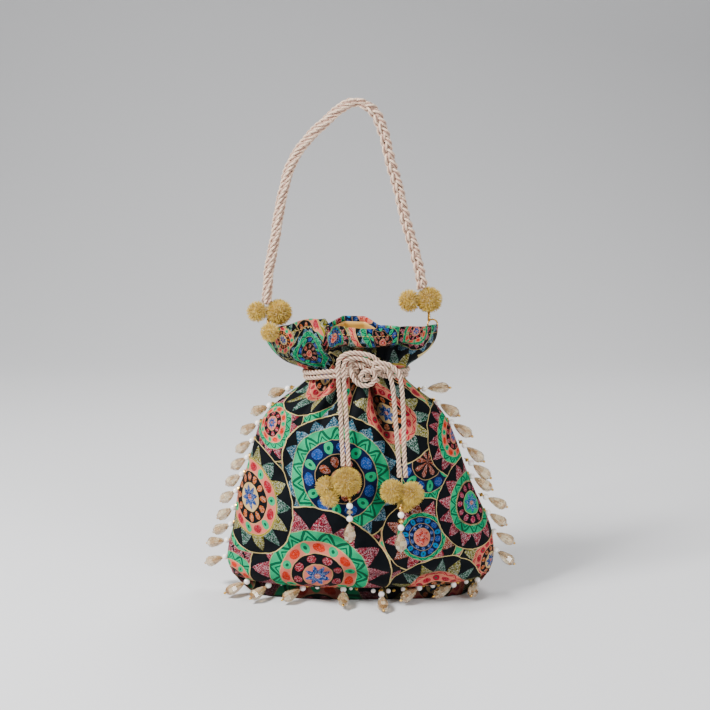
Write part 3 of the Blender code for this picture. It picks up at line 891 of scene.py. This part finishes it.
def clothMap(grid):
    # Flat-cloth places, in millimetres: across from the middle of a panel, and up from its hem.
    columns = pouch["columns"]
    ringed = np.concatenate([grid, grid[:, :1]], axis=1)
    step = np.linalg.norm(np.diff(ringed, axis=1), axis=2)
    across = np.concatenate([np.zeros((len(grid), 1)), np.cumsum(step, axis=1)], axis=1)
    front = across[:, :columns + 1] - across[:, columns // 2][:, None]
    back = across[:, columns + columns // 2][:, None] - across[:, columns:]
    z = grid[:, :, 2].mean(axis=1)
    gather = 1 + 0.42 * np.exp(-((z - 198) / 26) ** 2) + 0.12 * np.clip((z - 200) / 40, 0, 1)
    rise = np.linalg.norm(np.diff(grid, axis=0), axis=2)
    up = np.concatenate([np.cumsum(rise[::-1], axis=0)[::-1], np.zeros((1, rise.shape[1]))])
    up = np.concatenate([up, up[:, :1]], axis=1)
    return np.concatenate([front, back[:, 1:]], axis=1) * gather[:, None], up


def buildPouch(finish, rows, places, grid, normal, paintedShade, across, up):
    scale = 1 / cloth["unit"]
    shape = Shape()
    inner = np.array([grid[i] - normal[i] * pouch["thickness"]
                      for i in range(0, len(rows), pouch["innerEvery"])])
    inner[-1] = grid[-1] + np.array((0, 0, pouch["thickness"]))
    ringed = [list(row) for row in grid[::-1]]
    shape.grid(ringed, 0, capped=False, mapOf=lambda a, b: (
        across[len(rows) - 1 - a, b] * scale, up[len(rows) - 1 - a, b] * scale))
    base = len(ringed) * len(places)
    innerRows = [list(row) for row in inner]
    every = pouch["innerEvery"]
    shape.grid(innerRows, 0, capped=False, mapOf=lambda a, b: (
        across[a * every, b] * scale, up[a * every, b] * scale))
    # the rim, between the outside and the inside
    count = len(places)
    shape.bridge((len(ringed) - 1) * count, base, count,
                 lambda b: (across[0, b] * scale, up[0, b] * scale))
    made = shape.build("printed_pouch", [finish], "cloth")
    # the painted shade of folds and of the turned-under back, one number for each point of the outside
    depth = np.zeros(len(shape.points))
    depth[:paintedShade.size] = paintedShade[::-1].ravel()
    made.data.attributes.new("paintedShade", "FLOAT", "POINT").data.foreach_set("value", depth)
    weld(made, 0.00005)
    return made


def weld(made, distance):
    b = bmesh.new()
    b.from_mesh(made.data)
    bmesh.ops.remove_doubles(b, verts=b.verts, dist=distance)
    bmesh.ops.dissolve_degenerate(b, edges=b.edges, dist=distance / 4)
    bmesh.ops.recalc_face_normals(b, faces=b.faces)
    b.to_mesh(made.data)
    b.free()


def panelArea(made):
    # A thin closed sheet has cloth on both sides, so its cloth is half of its surface.
    return sum(face.area for face in made.data.polygons) / 2


lining = {
    "inset": 1.5,
    "seamMargin": 3.2,            # how far it stays clear of the side seams
    "thickness": 0.4,
    "firstRow": 5,
    "lastRow": 149,
    "rowStep": 3,
    "columnStep": 2,
}


def liningRow(places, row, normals, inset):
    # The cloth's own line, drawn in from the side seams and then inward.
    columns = pouch["columns"]
    half = (row[columns][0] - row[0][0]) / 2
    inward = row - normals * inset
    u = np.array([place for place, _ in places])
    order = {True: list(range(columns + 1)),
             False: [0] + list(range(2 * columns - 1, columns - 1, -1))}
    share = 1 - lining["seamMargin"] / half
    line = np.zeros_like(row)
    for front, picks in order.items():
        here = np.array([-1.0 if j == 0 else 1.0 if j == columns else u[j] for j in picks])
        drawn = np.column_stack([np.interp(here * share, here, inward[picks, k]) for k in range(3)])
        for j, point in zip(picks, drawn):
            line[j] += point if j not in (0, columns) else point / 2
    return line


def buildLining(finish, places, grid, normal, across, up):
    picked = range(lining["firstRow"], lining["lastRow"] + 1, lining["rowStep"])
    step = lining["columnStep"]
    scale = 1 / cloth["unit"]
    count = grid.shape[1]
    shape = Shape()
    walls = []
    for extra in (lining["thickness"], 0.0):
        wall = np.array([liningRow(places, grid[i], normal[i], lining["inset"] + extra)
                         for i in picked])[:, ::step]
        # the two sides meet along the bottom
        for j in range(wall.shape[1] // 2 + 1):
            pair = (wall.shape[1] - j) % wall.shape[1]
            level = (wall[-1, j] + wall[-1, pair]) / 2
            wall[-1, j] = wall[-1, pair] = level + np.array((0, 0, extra))
        walls.append(wall)

    def mapOf(a, b):
        row, column = picked[a], min(b * step, count)
        return across[row, column] * scale, up[row, column] * scale

    shape.grid([list(row) for row in walls[1]], 0, capped=False, mapOf=mapOf)
    base = len(shape.points)
    shape.grid([list(row) for row in walls[0]], 0, capped=False, mapOf=mapOf)
    shape.bridge(0, base, walls[0].shape[1], lambda b: mapOf(0, b))
    made = shape.build("mustard_lining", [finish], "cloth")
    weld(made, 0.00002)
    return made


strandRadius = 2.0
strandRoutes = {
    "drawstring_left_strand_outer": (
        (-19.9, -42.5, 212), (-19.7, -43, 200), (-18.6, -43.4, 185), (-17.6, -44, 168),
        (-17, -45.4, 152), (-16.2, -48, 140), (-15.6, -53.5, 129.2)),
    "drawstring_left_strand_inner": (
        (-15.3, -42.5, 212), (-15.2, -43, 200), (-14.2, -43.4, 185), (-13.2, -44, 168),
        (-12.6, -45.4, 152), (-11.8, -48, 140), (-11, -53.5, 129.2)),
    "drawstring_right_strand_inner": (
        (21.3, -40.5, 206), (24.2, -42.6, 196), (26.2, -43.2, 180), (27.4, -44, 164),
        (28.6, -45.6, 148), (29.8, -47.6, 134), (30.4, -51.5, 119)),
    "drawstring_right_strand_outer": (
        (25.2, -40.5, 209.5), (30, -42.2, 204), (32.2, -42.8, 192), (33.4, -43.6, 176),
        (34, -44.8, 160), (34.2, -46.4, 144), (34.8, -48.6, 132), (35.6, -51.5, 119)),
}

# The knot in front: two cords arch over from the left strands, one curls round in front, two leave
# for the right strands, and two wraps fill it from behind.
knotRoutes = (
    ((-19.9, -42.5, 211), (-18.8, -42.5, 216.2), (-14.5, -42.4, 220.2), (-8, -42, 221.6),
     (0, -41.6, 220.8), (8, -41, 218.4), (13.4, -40.2, 213.4), (14.2, -38.8, 206.6), (8, -36.8, 202)),
    ((-15.3, -42.5, 211), (-14.3, -42.4, 214.6), (-10.8, -42, 217.0), (-5, -41.6, 217.2),
     (2, -41.2, 215.6), (8.2, -40.8, 211.6), (9.4, -40.2, 206), (4, -39, 204)),
    ((-9.5, -39, 209), (-8.4, -42.6, 203.5), (-5.4, -44.2, 198.2), (-0.4, -44.8, 195.2),
     (5.6, -44.8, 195.4), (9.8, -44.6, 199.2), (9.8, -44.4, 204.2), (5.8, -44.2, 207.2),
     (0.8, -44.6, 206.2), (-1.4, -44.8, 202), (1.4, -44.4, 199.4), (5.2, -42, 201.4)),
    ((6, -40.4, 212.4), (12, -42, 213.6), (18, -41.8, 212.6), (22.6, -41, 211), (25.2, -40.5, 208.6)),
    ((8, -40, 207.6), (14, -42.2, 209.6), (18.6, -41.8, 208.6), (21.3, -40.5, 205.2)),
    ((-14, -33.5, 200), (-8, -37, 205.6), (0, -38.2, 211.6), (9, -37, 208), (16, -34, 202)),
    ((-12, -34, 206), (-6, -38.4, 212), (1, -39.2, 208), (6, -38.4, 199.4), (13, -34.6, 197)),
    ((-4, -34, 216), (-9.6, -38.6, 213), (-9.8, -40.4, 206), (-4.6, -40, 200.6), (2, -36, 197.6)),
)

neckCord = {
    "shares": {"drawstring_neck_upper": 0.76, "drawstring_neck_lower": 0.28},
    "clearance": 1.2,
    "startX": -9.0,
    "endX": 15.0,
    "columns": 60,
    "level": 4,
    "tuck": (-37.5, 205),         # y and z of the ends, behind the knot
    "leftTuck": 6,
    "rightTuck": 5,
}

handle = {
    "route": ((-79.9, 256.2), (-77.7, 282.6), (-72.4, 309.4), (-67, 340), (-58.9, 369.5),
              (-46, 389.7), (-29.6, 405.8), (-14.9, 418), (-5.2, 421), (3.7, 418), (11.1, 411.4),
              (17.7, 395.4), (22.7, 374.4), (29.4, 352.3), (35.3, 326.8), (42.2, 304.4),
              (48.8, 278.4), (50, 268.5)),
    "y": -2.0,
    "strandRadius": 2.35,
    "swing": 2.7,                 # how far each strand goes to the side
    "rise": 1.5,                  # and to the front
    "period": 25.0,
    "ropeReach": 2.35,
    "ropePeriod": 13.5,
    "plaitStart": 0.50,
    "plaitBlend": 0.08,
    "lay": -26.0,
    "diameter": 9.4,
}

handleLoops = {                   # centre and radius of the ring, centre and radius of the rim's ring
    "handle_loop_left": ((-79, -2, 237.6), 4.6, (-80.5, -4, 231.5), 4.2),
    "handle_loop_right": ((56, -2, 244.6), 3.5, (59, -4, 238.4), 4.0),
}
loopWire, rimWire = 1.1, 0.8


def buildStrands(finish):
    made = {}
    for name, route in strandRoutes.items():
        path = smoothCurve(route, cord["spacing"])
        shape = Shape()
        addTwistedCord(shape, path, strandRadius)
        made[name] = (shape.build(f"satin_{name}", [finish], "strand"), path)
    return made


def buildKnot(finish):
    shape = Shape()
    for number, route in enumerate(knotRoutes):
        addTwistedCord(shape, smoothCurve(route, cord["spacing"]), strandRadius, turn=0.7 * number)
    return shape.build("tied_knot", [finish], "strand")


def buildNeckCord(name, share, finish):
    level = levelAt(neckCord["level"] - share)
    radius = strandRadius + neckCord["clearance"]
    columns = neckCord["columns"]
    points = np.array([panelPoint(level, u, front) for u, front in ringPlaces(columns)])
    around = np.roll(points, -1, axis=0) - np.roll(points, 1, axis=0)
    outward = np.column_stack([around[:, 1], -around[:, 0], 0 * around[:, 0]])
    outward /= np.linalg.norm(outward, axis=1)[:, None]
    points = points + outward * radius
    points[:, 0] = [pinched(x, z) for x, _, z in points]
    front = points[:columns + 1]
    left = [p for p in front if p[0] < neckCord["startX"]][::-1]
    right = [p for p in front if p[0] > neckCord["endX"]][::-1]
    # the ends leave the neck for the knot
    route = [(neckCord["startX"] + neckCord["leftTuck"], *neckCord["tuck"]), *left[1:],
             *points[columns + 1:][::-1], *right[:-1],
             (neckCord["endX"] - neckCord["rightTuck"], *neckCord["tuck"])]
    shape = Shape()
    addTwistedCord(shape, smoothCurve(route[::2] + route[-1:], cord["spacing"]), strandRadius)
    return shape.build(f"satin_{name}", [finish], "strand")


def buildHandle(finish):
    path = smoothCurve([(x, handle["y"], z) for x, z in handle["route"]], cord["spacing"])
    tangent, _, _ = carriedFrames(path)
    depth = np.array((0, -1.0, 0))
    across = np.cross(tangent, depth)
    along = np.r_[0, np.cumsum(np.linalg.norm(np.diff(path, axis=0), axis=1))]
    # the strands are laid like a rope up the left side, and plaited flat down the right
    plaited = np.clip((along / along[-1] - handle["plaitStart"]) / handle["plaitBlend"], 0, 1)
    plaited = (plaited * plaited * (3 - 2 * plaited))[:, None]
    period = handle["ropePeriod"] + (handle["period"] - handle["ropePeriod"]) * plaited[:, 0]
    turns = np.r_[0, np.cumsum(np.diff(along) / period[1:])]
    shape = Shape()
    for number in range(3):
        phase = math.tau * (turns + number / 3)
        sine, cosine = np.sin(phase)[:, None], np.cos(phase)[:, None]
        rope = handle["ropeReach"] * (across * cosine - depth * sine)
        plait = (across * handle["swing"] * sine
                 + depth * handle["rise"] * np.sin(2 * phase)[:, None])
        strand = path + rope * (1 - plaited) + plait * plaited
        addTwistedCord(shape, strand, handle["strandRadius"], lay=handle["lay"], sides=18,
                       turn=0.9 * number)
    return shape.build("plaited_satin_handle", [finish], "strand"), path


def buildLoop(name, centre, ring, rimCentre, rimRing, finish):
    turns = np.linspace(0, math.tau, 72, endpoint=False)
    shape = Shape()
    upright = np.array([(centre[0], centre[1] + ring * math.cos(a), centre[2] + ring * math.sin(a))
                        for a in turns])
    addTwistedCord(shape, upright, loopWire, lay=math.tau * ring / 4, closed=True, sides=18)
    facing = np.array([(rimCentre[0] + rimRing * math.cos(a), rimCentre[1],
                        rimCentre[2] + rimRing * math.sin(a)) for a in turns])
    addTwistedCord(shape, facing, rimWire, lay=math.tau * rimRing / 5, closed=True, sides=18)
    made = shape.build(f"gold_{name}", [finish], "strand")
    weld(made, 0.00001)
    return made


pompon = {
    "coreShare": 0.80,
    "rings": 18,
    "around": 28,
    "lump": 0.06,
    "fibresPerArea": 2.6e6,      # to the square metre
    "fibreLength": 0.0040,
    "fibreRadius": 0.00024,
    "tilt": 0.42,
    # name of the CAD node: centre and radius in millimetres, body
    "places": {
        "handle_pompon_left_outer": ((-88, -2, 248.6), 6.3, "handle"),
        "handle_pompon_left_inner": ((-69.8, -2, 248), 9, "handle"),
        "handle_pompon_left_front": ((-76, -22.8, 235), 5.3, "pouch"),
        "handle_pompon_right_inner": ((39.5, -2, 257.8), 7, "handle"),
        "handle_pompon_right_outer": ((56, -2, 258.8), 9, "handle"),
        "drawstring_left_pompon_large": ((-12.8, -58, 117.5), 10.3, "drawstring_left"),
        "drawstring_left_pompon_side": ((-29.4, -54, 112), 6.5, "drawstring_left"),
        "drawstring_left_pompon_small": ((-26.6, -60.4, 104), 4.8, "drawstring_left"),
        "drawstring_right_pompon_inner": ((24.6, -56.5, 108.6), 7.8, "drawstring_right"),
        "drawstring_right_pompon_outer": ((40.6, -58.5, 107.4), 7.8, "drawstring_right"),
        "drawstring_right_pompon_small": ((35.5, -56, 98), 4.2, "drawstring_right"),
    },
}

seamChain = {
    "clear": 6.6,                 # millimetres left free beside each drop
    "shortest": 0.5,              # millimetres of room that a chain needs
    "ahead": -1.9, "below": -2.0,               # millimetres from the drops' own line
    "spacing": 0.0049, "length": 0.0042, "radius": 0.0020,          # metres, like the next two
    "goldLength": 0.0030, "goldRadius": 0.0014,
}
stitch = {"length": 0.0021, "gap": 0.0013, "radius": 0.00026, "row": 7, "stand": 0.15}


class Growth:
    # A node group that repeats a small form over or along a piece, with named inputs.

    def __init__(self, name, inputs):
        self.group = bpy.data.node_groups.new(name, "GeometryNodeTree")
        self.group.interface.new_socket("Geometry", in_out="INPUT", socket_type="NodeSocketGeometry")
        for label, kind in inputs:
            self.group.interface.new_socket(label, in_out="INPUT", socket_type=kind)
        self.group.interface.new_socket("Geometry", in_out="OUTPUT", socket_type="NodeSocketGeometry")
        self.start = self.node("NodeGroupInput").outputs

    def node(self, kind, links=None, **settings):
        made = self.group.nodes.new(kind)
        for name, value in settings.items():
            setattr(made, name, value)
        for name, value in (links or {}).items():
            if isinstance(value, bpy.types.NodeSocket):
                self.group.links.new(value, made.inputs[name])
            else:
                made.inputs[name].default_value = value
        return made

    def end(self, geometry, material):
        real = self.node("GeometryNodeRealizeInstances", {"Geometry": geometry})
        painted = self.node("GeometryNodeSetMaterial",
                            {"Geometry": real.outputs[0], "Material": material})
        self.node("NodeGroupOutput", {"Geometry": painted.outputs[0]})

    def apply(self, made, values):
        # Grows on the piece, and leaves the piece with the grown mesh.
        modifier = made.modifiers.new("growth", "NODES")
        modifier.node_group = self.group
        for item in self.group.interface.items_tree:
            if item.in_out == "INPUT" and item.name in values:
                modifier[item.identifier] = values[item.name]
        depsgraph = bpy.context.evaluated_depsgraph_get()
        grown = bpy.data.meshes.new_from_object(made.evaluated_get(depsgraph))
        made.modifiers.clear()
        made.data = grown


def woolGrowth():
    g = Growth("woolFibres", (("Density", "NodeSocketFloat"), ("Length", "NodeSocketFloat"),
                              ("Radius", "NodeSocketFloat"), ("Tilt", "NodeSocketFloat"),
                              ("Seed", "NodeSocketInt"), ("Material", "NodeSocketMaterial")))
    spots = g.node("GeometryNodeDistributePointsOnFaces", {
        "Mesh": g.start["Geometry"], "Density": g.start["Density"], "Seed": g.start["Seed"]})
    thin = g.node("ShaderNodeMath", {0: g.start["Radius"], 1: 0.5}, operation="MULTIPLY")
    fibre = g.node("GeometryNodeMeshCone", {
        "Vertices": 3, "Radius Top": thin.outputs[0], "Radius Bottom": g.start["Radius"],
        "Depth": g.start["Length"]})
    sway = g.node("FunctionNodeRandomValue", {"Seed": g.start["Seed"], 0: (-1, -1, -3), 1: (1, 1, 3)},
                  data_type="FLOAT_VECTOR")
    lean = g.node("ShaderNodeVectorMath", {0: sway.outputs[0], "Scale": g.start["Tilt"]},
                  operation="SCALE")
    bend = g.node("FunctionNodeEulerToRotation", {0: lean.outputs[0]})
    turn = g.node("FunctionNodeRotateRotation", {0: spots.outputs["Rotation"], 1: bend.outputs[0]},
                  rotation_space="LOCAL")
    length = g.node("FunctionNodeRandomValue", {"Seed": g.start["Seed"], 2: 0.75, 3: 1.2},
                    data_type="FLOAT")
    grown = g.node("GeometryNodeInstanceOnPoints", {
        "Points": spots.outputs["Points"], "Instance": fibre.outputs["Mesh"],
        "Rotation": turn.outputs[0], "Scale": length.outputs[1]})
    both = g.node("GeometryNodeJoinGeometry")
    g.group.links.new(grown.outputs[0], both.inputs[0])
    g.group.links.new(g.start["Geometry"], both.inputs[0])
    g.end(both.outputs[0], g.start["Material"])
    return g


def stitchGrowth():
    g = Growth("stitches", (("Spacing", "NodeSocketFloat"), ("Length", "NodeSocketFloat"),
                            ("Radius", "NodeSocketFloat"), ("Material", "NodeSocketMaterial")))
    line = g.node("GeometryNodeMeshToCurve", {"Mesh": g.start["Geometry"]})
    places = g.node("GeometryNodeCurveToPoints", {"Curve": line.outputs[0],
                                                  "Length": g.start["Spacing"]}, mode="LENGTH")
    bead = g.node("GeometryNodeMeshUVSphere", {"Segments": 10, "Rings": 7, "Radius": 1.0})
    half = g.node("ShaderNodeMath", {0: g.start["Length"], 1: 0.5}, operation="MULTIPLY")
    size = g.node("ShaderNodeCombineXYZ", {0: g.start["Radius"], 1: g.start["Radius"], 2: half.outputs[0]})
    sewn = g.node("GeometryNodeInstanceOnPoints", {
        "Points": places.outputs["Points"], "Instance": bead.outputs["Mesh"],
        "Rotation": places.outputs["Rotation"], "Scale": size.outputs[0]})
    g.end(sewn.outputs[0], g.start["Material"])
    return g


def buildPompon(name, centre, radius, seed, growth, finish):
    core = Shape()
    rings, around = pompon["rings"], pompon["around"]
    rows = []
    for i in range(1, rings):
        a = math.pi * i / rings
        row = []
        for j in range(around):
            b = math.tau * j / around
            outward = Vector((math.sin(a) * math.cos(b), math.sin(a) * math.sin(b), -math.cos(a)))
            lump = 1 + pompon["lump"] * noise.noise(outward * 2.3 + Vector((seed * 3.1, 0, 0)))
            row.append(tuple(Vector(centre) + outward * radius * pompon["coreShare"] * lump))
        rows.append(row)
    core.grid(rows)
    made = core.build(f"wool_{name}", [finish], "wool")
    growth.apply(made, {"Density": pompon["fibresPerArea"], "Length": pompon["fibreLength"],
                        "Radius": pompon["fibreRadius"], "Tilt": pompon["tilt"], "Seed": seed,
                        "Material": finish})
    return made


def repeatAlong(name, points, edges, spacing, length, radius, growth, finish):
    # One piece of the growth's beads, along the edges between points given in millimetres.
    mesh = bpy.data.meshes.new(name)
    mesh.from_pydata([tuple(point * mm) for point in points], edges, [])
    made = bpy.data.objects.new(name, mesh)
    collection.objects.link(made)
    growth.apply(made, {"Spacing": spacing, "Length": length, "Radius": radius, "Material": finish})
    return made


def buildStitches(grid, normal, growth, finish):
    row = stitch["row"]
    points = [grid[row, j] + normal[row, j] * stitch["stand"] for j in range(grid.shape[1])]
    edges = [(j, (j + 1) % len(points)) for j in range(len(points))]
    return repeatAlong("rim_stitches", points, edges, stitch["length"] + stitch["gap"],
                       stitch["length"], stitch["radius"], growth, finish)


def buildSeamChain(name, starts, shift, length, radius, growth, finish):
    # Beads strung along the bottom seam, between one drop and the next.
    points, edges = [], []
    for a, b in zip(starts, starts[1:]):
        way = (b - a) / np.linalg.norm(b - a)
        first = a + way * (seamChain["clear"] + shift)
        last = b - way * seamChain["clear"]
        if (last - first) @ way > seamChain["shortest"]:
            edges.append((len(points), len(points) + 1))
            points += [first, last]
    return repeatAlong(name, points, edges, seamChain["spacing"] * 2, length, radius, growth, finish)


threadFinish, goldFinish, pearlFinish, crystalFinish = range(4)
threadRadius, threadSides = 0.55, 8
dropTail, stringTail = 8, 4       # millimetres at the end of each that have no thread
dropTurn = 0.7                    # radians by which each drop's facets are turned from the last

# Profiles of the beads: (distance along the thread, radius) in millimetres.
goldBead = ((-1.5, 0.62), (-0.9, 1.5), (0.0, 2.0), (0.9, 1.5), (1.5, 0.62))
pearlSteps, pearlRadius = 9, 2.7
pearlTurns = [math.pi * i / pearlSteps for i in range(1, pearlSteps)]
pearlProfile = [(-pearlRadius * math.cos(a), pearlRadius * math.sin(a)) for a in pearlTurns]
crystalProfile = ((-12.6, 0.7), (-11.6, 1.5), (-8.6, 3.0), (-4.0, 4.4), (0.0, 5.0), (3.0, 4.1),
                  (5.0, 2.2))
seedProfile = ((5.0, 0.5), (5.6, 1.15), (6.4, 1.2), (7.2, 0.7), (7.5, 0.3))
rondelleProfile = ((-1.6, 1.0), (-0.9, 2.3), (0.0, 2.7), (0.9, 2.3), (1.6, 1.0))
shortCrystal = ((-9.6, 0.9), (-7.4, 2.5), (-3.4, 4.3), (0.4, 5.2), (3.6, 4.4), (6.2, 2.2), (7.0, 0.8))
beadKinds = {                     # profile, sides, finish, and whether it is smooth
    "gold": (goldBead, 10, goldFinish, False),
    "pearl": (pearlProfile, 18, pearlFinish, True),
    "crystal": (crystalProfile, crystalSides, crystalFinish, False),
    "short": (shortCrystal, crystalSides, crystalFinish, False),
    "seed": (seedProfile, 8, goldFinish, True),
    "rondelle": (rondelleProfile, 10, crystalFinish, False),
    "goldRondelle": (rondelleProfile, 10, goldFinish, False),
}

# The beads of a drop and of the two strings: kind, and millimetres along the thread.
dropBeads = (("gold", 2.8), ("pearl", 7.4), ("crystal", 23.0), ("seed", 23.0))
stringBeads = {
    "drawstring_left_beads": ((-10.4, -60.0, 106.6), "drawstring_left",
                              (("gold", 2.6), ("pearl", 9.2), ("rondelle", 14.4), ("pearl", 20.1),
                               ("short", 34.0))),
    "drawstring_right_beads": ((31.6, -65.0, 100.6), "drawstring_right",
                               (("gold", 3.2), ("pearl", 9.2), ("goldRondelle", 14.4), ("pearl", 20.1),
                                ("short", 34.0))),
}
stringLength = 43.4


def addBead(shape, kind, place, direction, turn):
    profile, sides, finish, smooth = beadKinds[kind]
    shape.turned(place, direction, profile, sides, finish, smooth, turn)


def dropAxis(node):
    # The start of a drop, the way it points and its length, from the CAD node's own corners.
    corners = np.array([v.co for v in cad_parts[node].data.vertices]) / mm
    middle = corners.mean(axis=0)
    _, _, ways = np.linalg.svd(corners - middle)
    along = (corners - middle) @ ways[0]
    low, high = along.min(), along.max()
    off = np.linalg.norm(corners - middle - np.outer(along, ways[0]), axis=1)
    wide = along[off.argmax()]
    way = ways[0] if wide - low > high - wide else -ways[0]
    start = middle + way * (low if way is ways[0] else -high)
    return start, way, high - low


def buildDrop(node, finishes):
    start, way, length = dropAxis(node)
    shape = Shape()
    shape.turned(start, way, ((0, threadRadius), (length - dropTail, threadRadius)),
                 threadSides, threadFinish)
    turn = int(node[-2:]) * dropTurn
    for kind, along in dropBeads:
        addBead(shape, kind, tuple(start + way * along), tuple(way), turn)
    return shape.build(f"beads_{node}", finishes, "bead")


def buildString(node, place, beads, finishes):
    shape = Shape()
    way = np.array((0, 0, -1.0))
    shape.turned(place, way, ((0, threadRadius), (stringLength - stringTail, threadRadius)),
                 threadSides, threadFinish)
    for kind, along in beads:
        addBead(shape, kind, tuple(np.array(place) + way * along), tuple(way), along)
    return shape.build(f"beads_{node}", finishes, "bead")


def nearestOnCloth(x, z, grid, across, up):
    # The place on the cloth map that lies at x and z on the front.
    front = grid[:, :pouch["columns"] + 1]
    gap = (front[:, :, 0] - x) ** 2 + (front[:, :, 2] - z) ** 2
    i, j = np.unravel_index(gap.argmin(), gap.shape)
    return float(across[i, j]), float(up[i, j])


def assemble():
    buildStage()
    cordFinish, goldFinishMade = buildCordFinish(), buildGoldFinish()
    threadMade = buildGoldThreadFinish()
    strands = buildStrands(cordFinish)
    knot = buildKnot(cordFinish)
    own(knot, "pouch", ["drawstring_knot"])
    for name, share in neckCord["shares"].items():
        own(buildNeckCord(name, share, cordFinish), "pouch", [name])
    plait, plaitPath = buildHandle(cordFinish)
    own(plait, "handle", ["plaited_handle"])
    for name, (strand, _) in strands.items():
        own(strand, "_".join(name.split("_")[:2]), [name])
    print("cords made")

    rows, places, grid, normal, paintedShade = pouchGrid()
    across, up = clothMap(grid)
    rosettesAt = [(nearestOnCloth(x, z, grid, across, up), radius, kind, turn)
                  for x, z, radius, kind, turn in rosettePlaces]
    bag = buildPouch(buildPrint(rosettesAt), rows, places, grid, normal, paintedShade, across, up)
    own(bag, "pouch", ["outer_pouch"])
    inside = buildLining(buildLiningFinish(), places, grid, normal, across, up)
    own(inside, "pouch", ["satin_lining"])
    print("cloth made", round(panelArea(bag), 4), round(panelArea(inside), 4))

    for name, rings in handleLoops.items():
        own(buildLoop(name, *rings, goldFinishMade), "pouch", [name])
    stitches = buildStitches(grid, normal, stitchGrowth(), threadMade)
    own(stitches, "pouch", [])
    wool, growth = buildWoolFinish(), woolGrowth()
    pompons = {}
    for seed, (name, (centre, radius, body)) in enumerate(pompon["places"].items()):
        pompons[name] = buildPompon(name, centre, radius, seed, growth, wool)
        own(pompons[name], body, [name])
    print("pompons made")

    beadFinishes = [threadMade, goldFinishMade, buildPearlFinish(), buildCrystalFinish()]
    for node in sorted(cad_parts):
        if node.startswith("fringe_"):
            own(buildDrop(node, beadFinishes), node, [node])
    starts = [dropAxis(node)[0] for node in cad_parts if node.startswith("fringe_bottom")]
    starts.sort(key=lambda p: p[0])
    starts = [p + (0, seamChain["ahead"], seamChain["below"]) for p in starts]
    chain = stitchGrowth()
    for name, shift, length, radius, finish in (
            ("seam_pearls", 0.0, "length", "radius", beadFinishes[pearlFinish]),
            ("seam_gold_beads", seamChain["spacing"] / mm, "goldLength", "goldRadius", goldFinishMade)):
        own(buildSeamChain(name, starts, shift, seamChain[length], seamChain[radius], chain, finish),
            "pouch", [])
    strings = {}
    for node, (place, body, beads) in stringBeads.items():
        strings[node] = own(buildString(node, place, beads, beadFinishes), body, [node])
    print("beads made")

    for name, (strand, path) in strands.items():
        side = "left" if "_left_" in name else "right"
        fitted = [p for n, p in pompons.items() if n.startswith(f"drawstring_{side}")]
        fitted.append(strings[f"drawstring_{side}_beads"])


assemble()
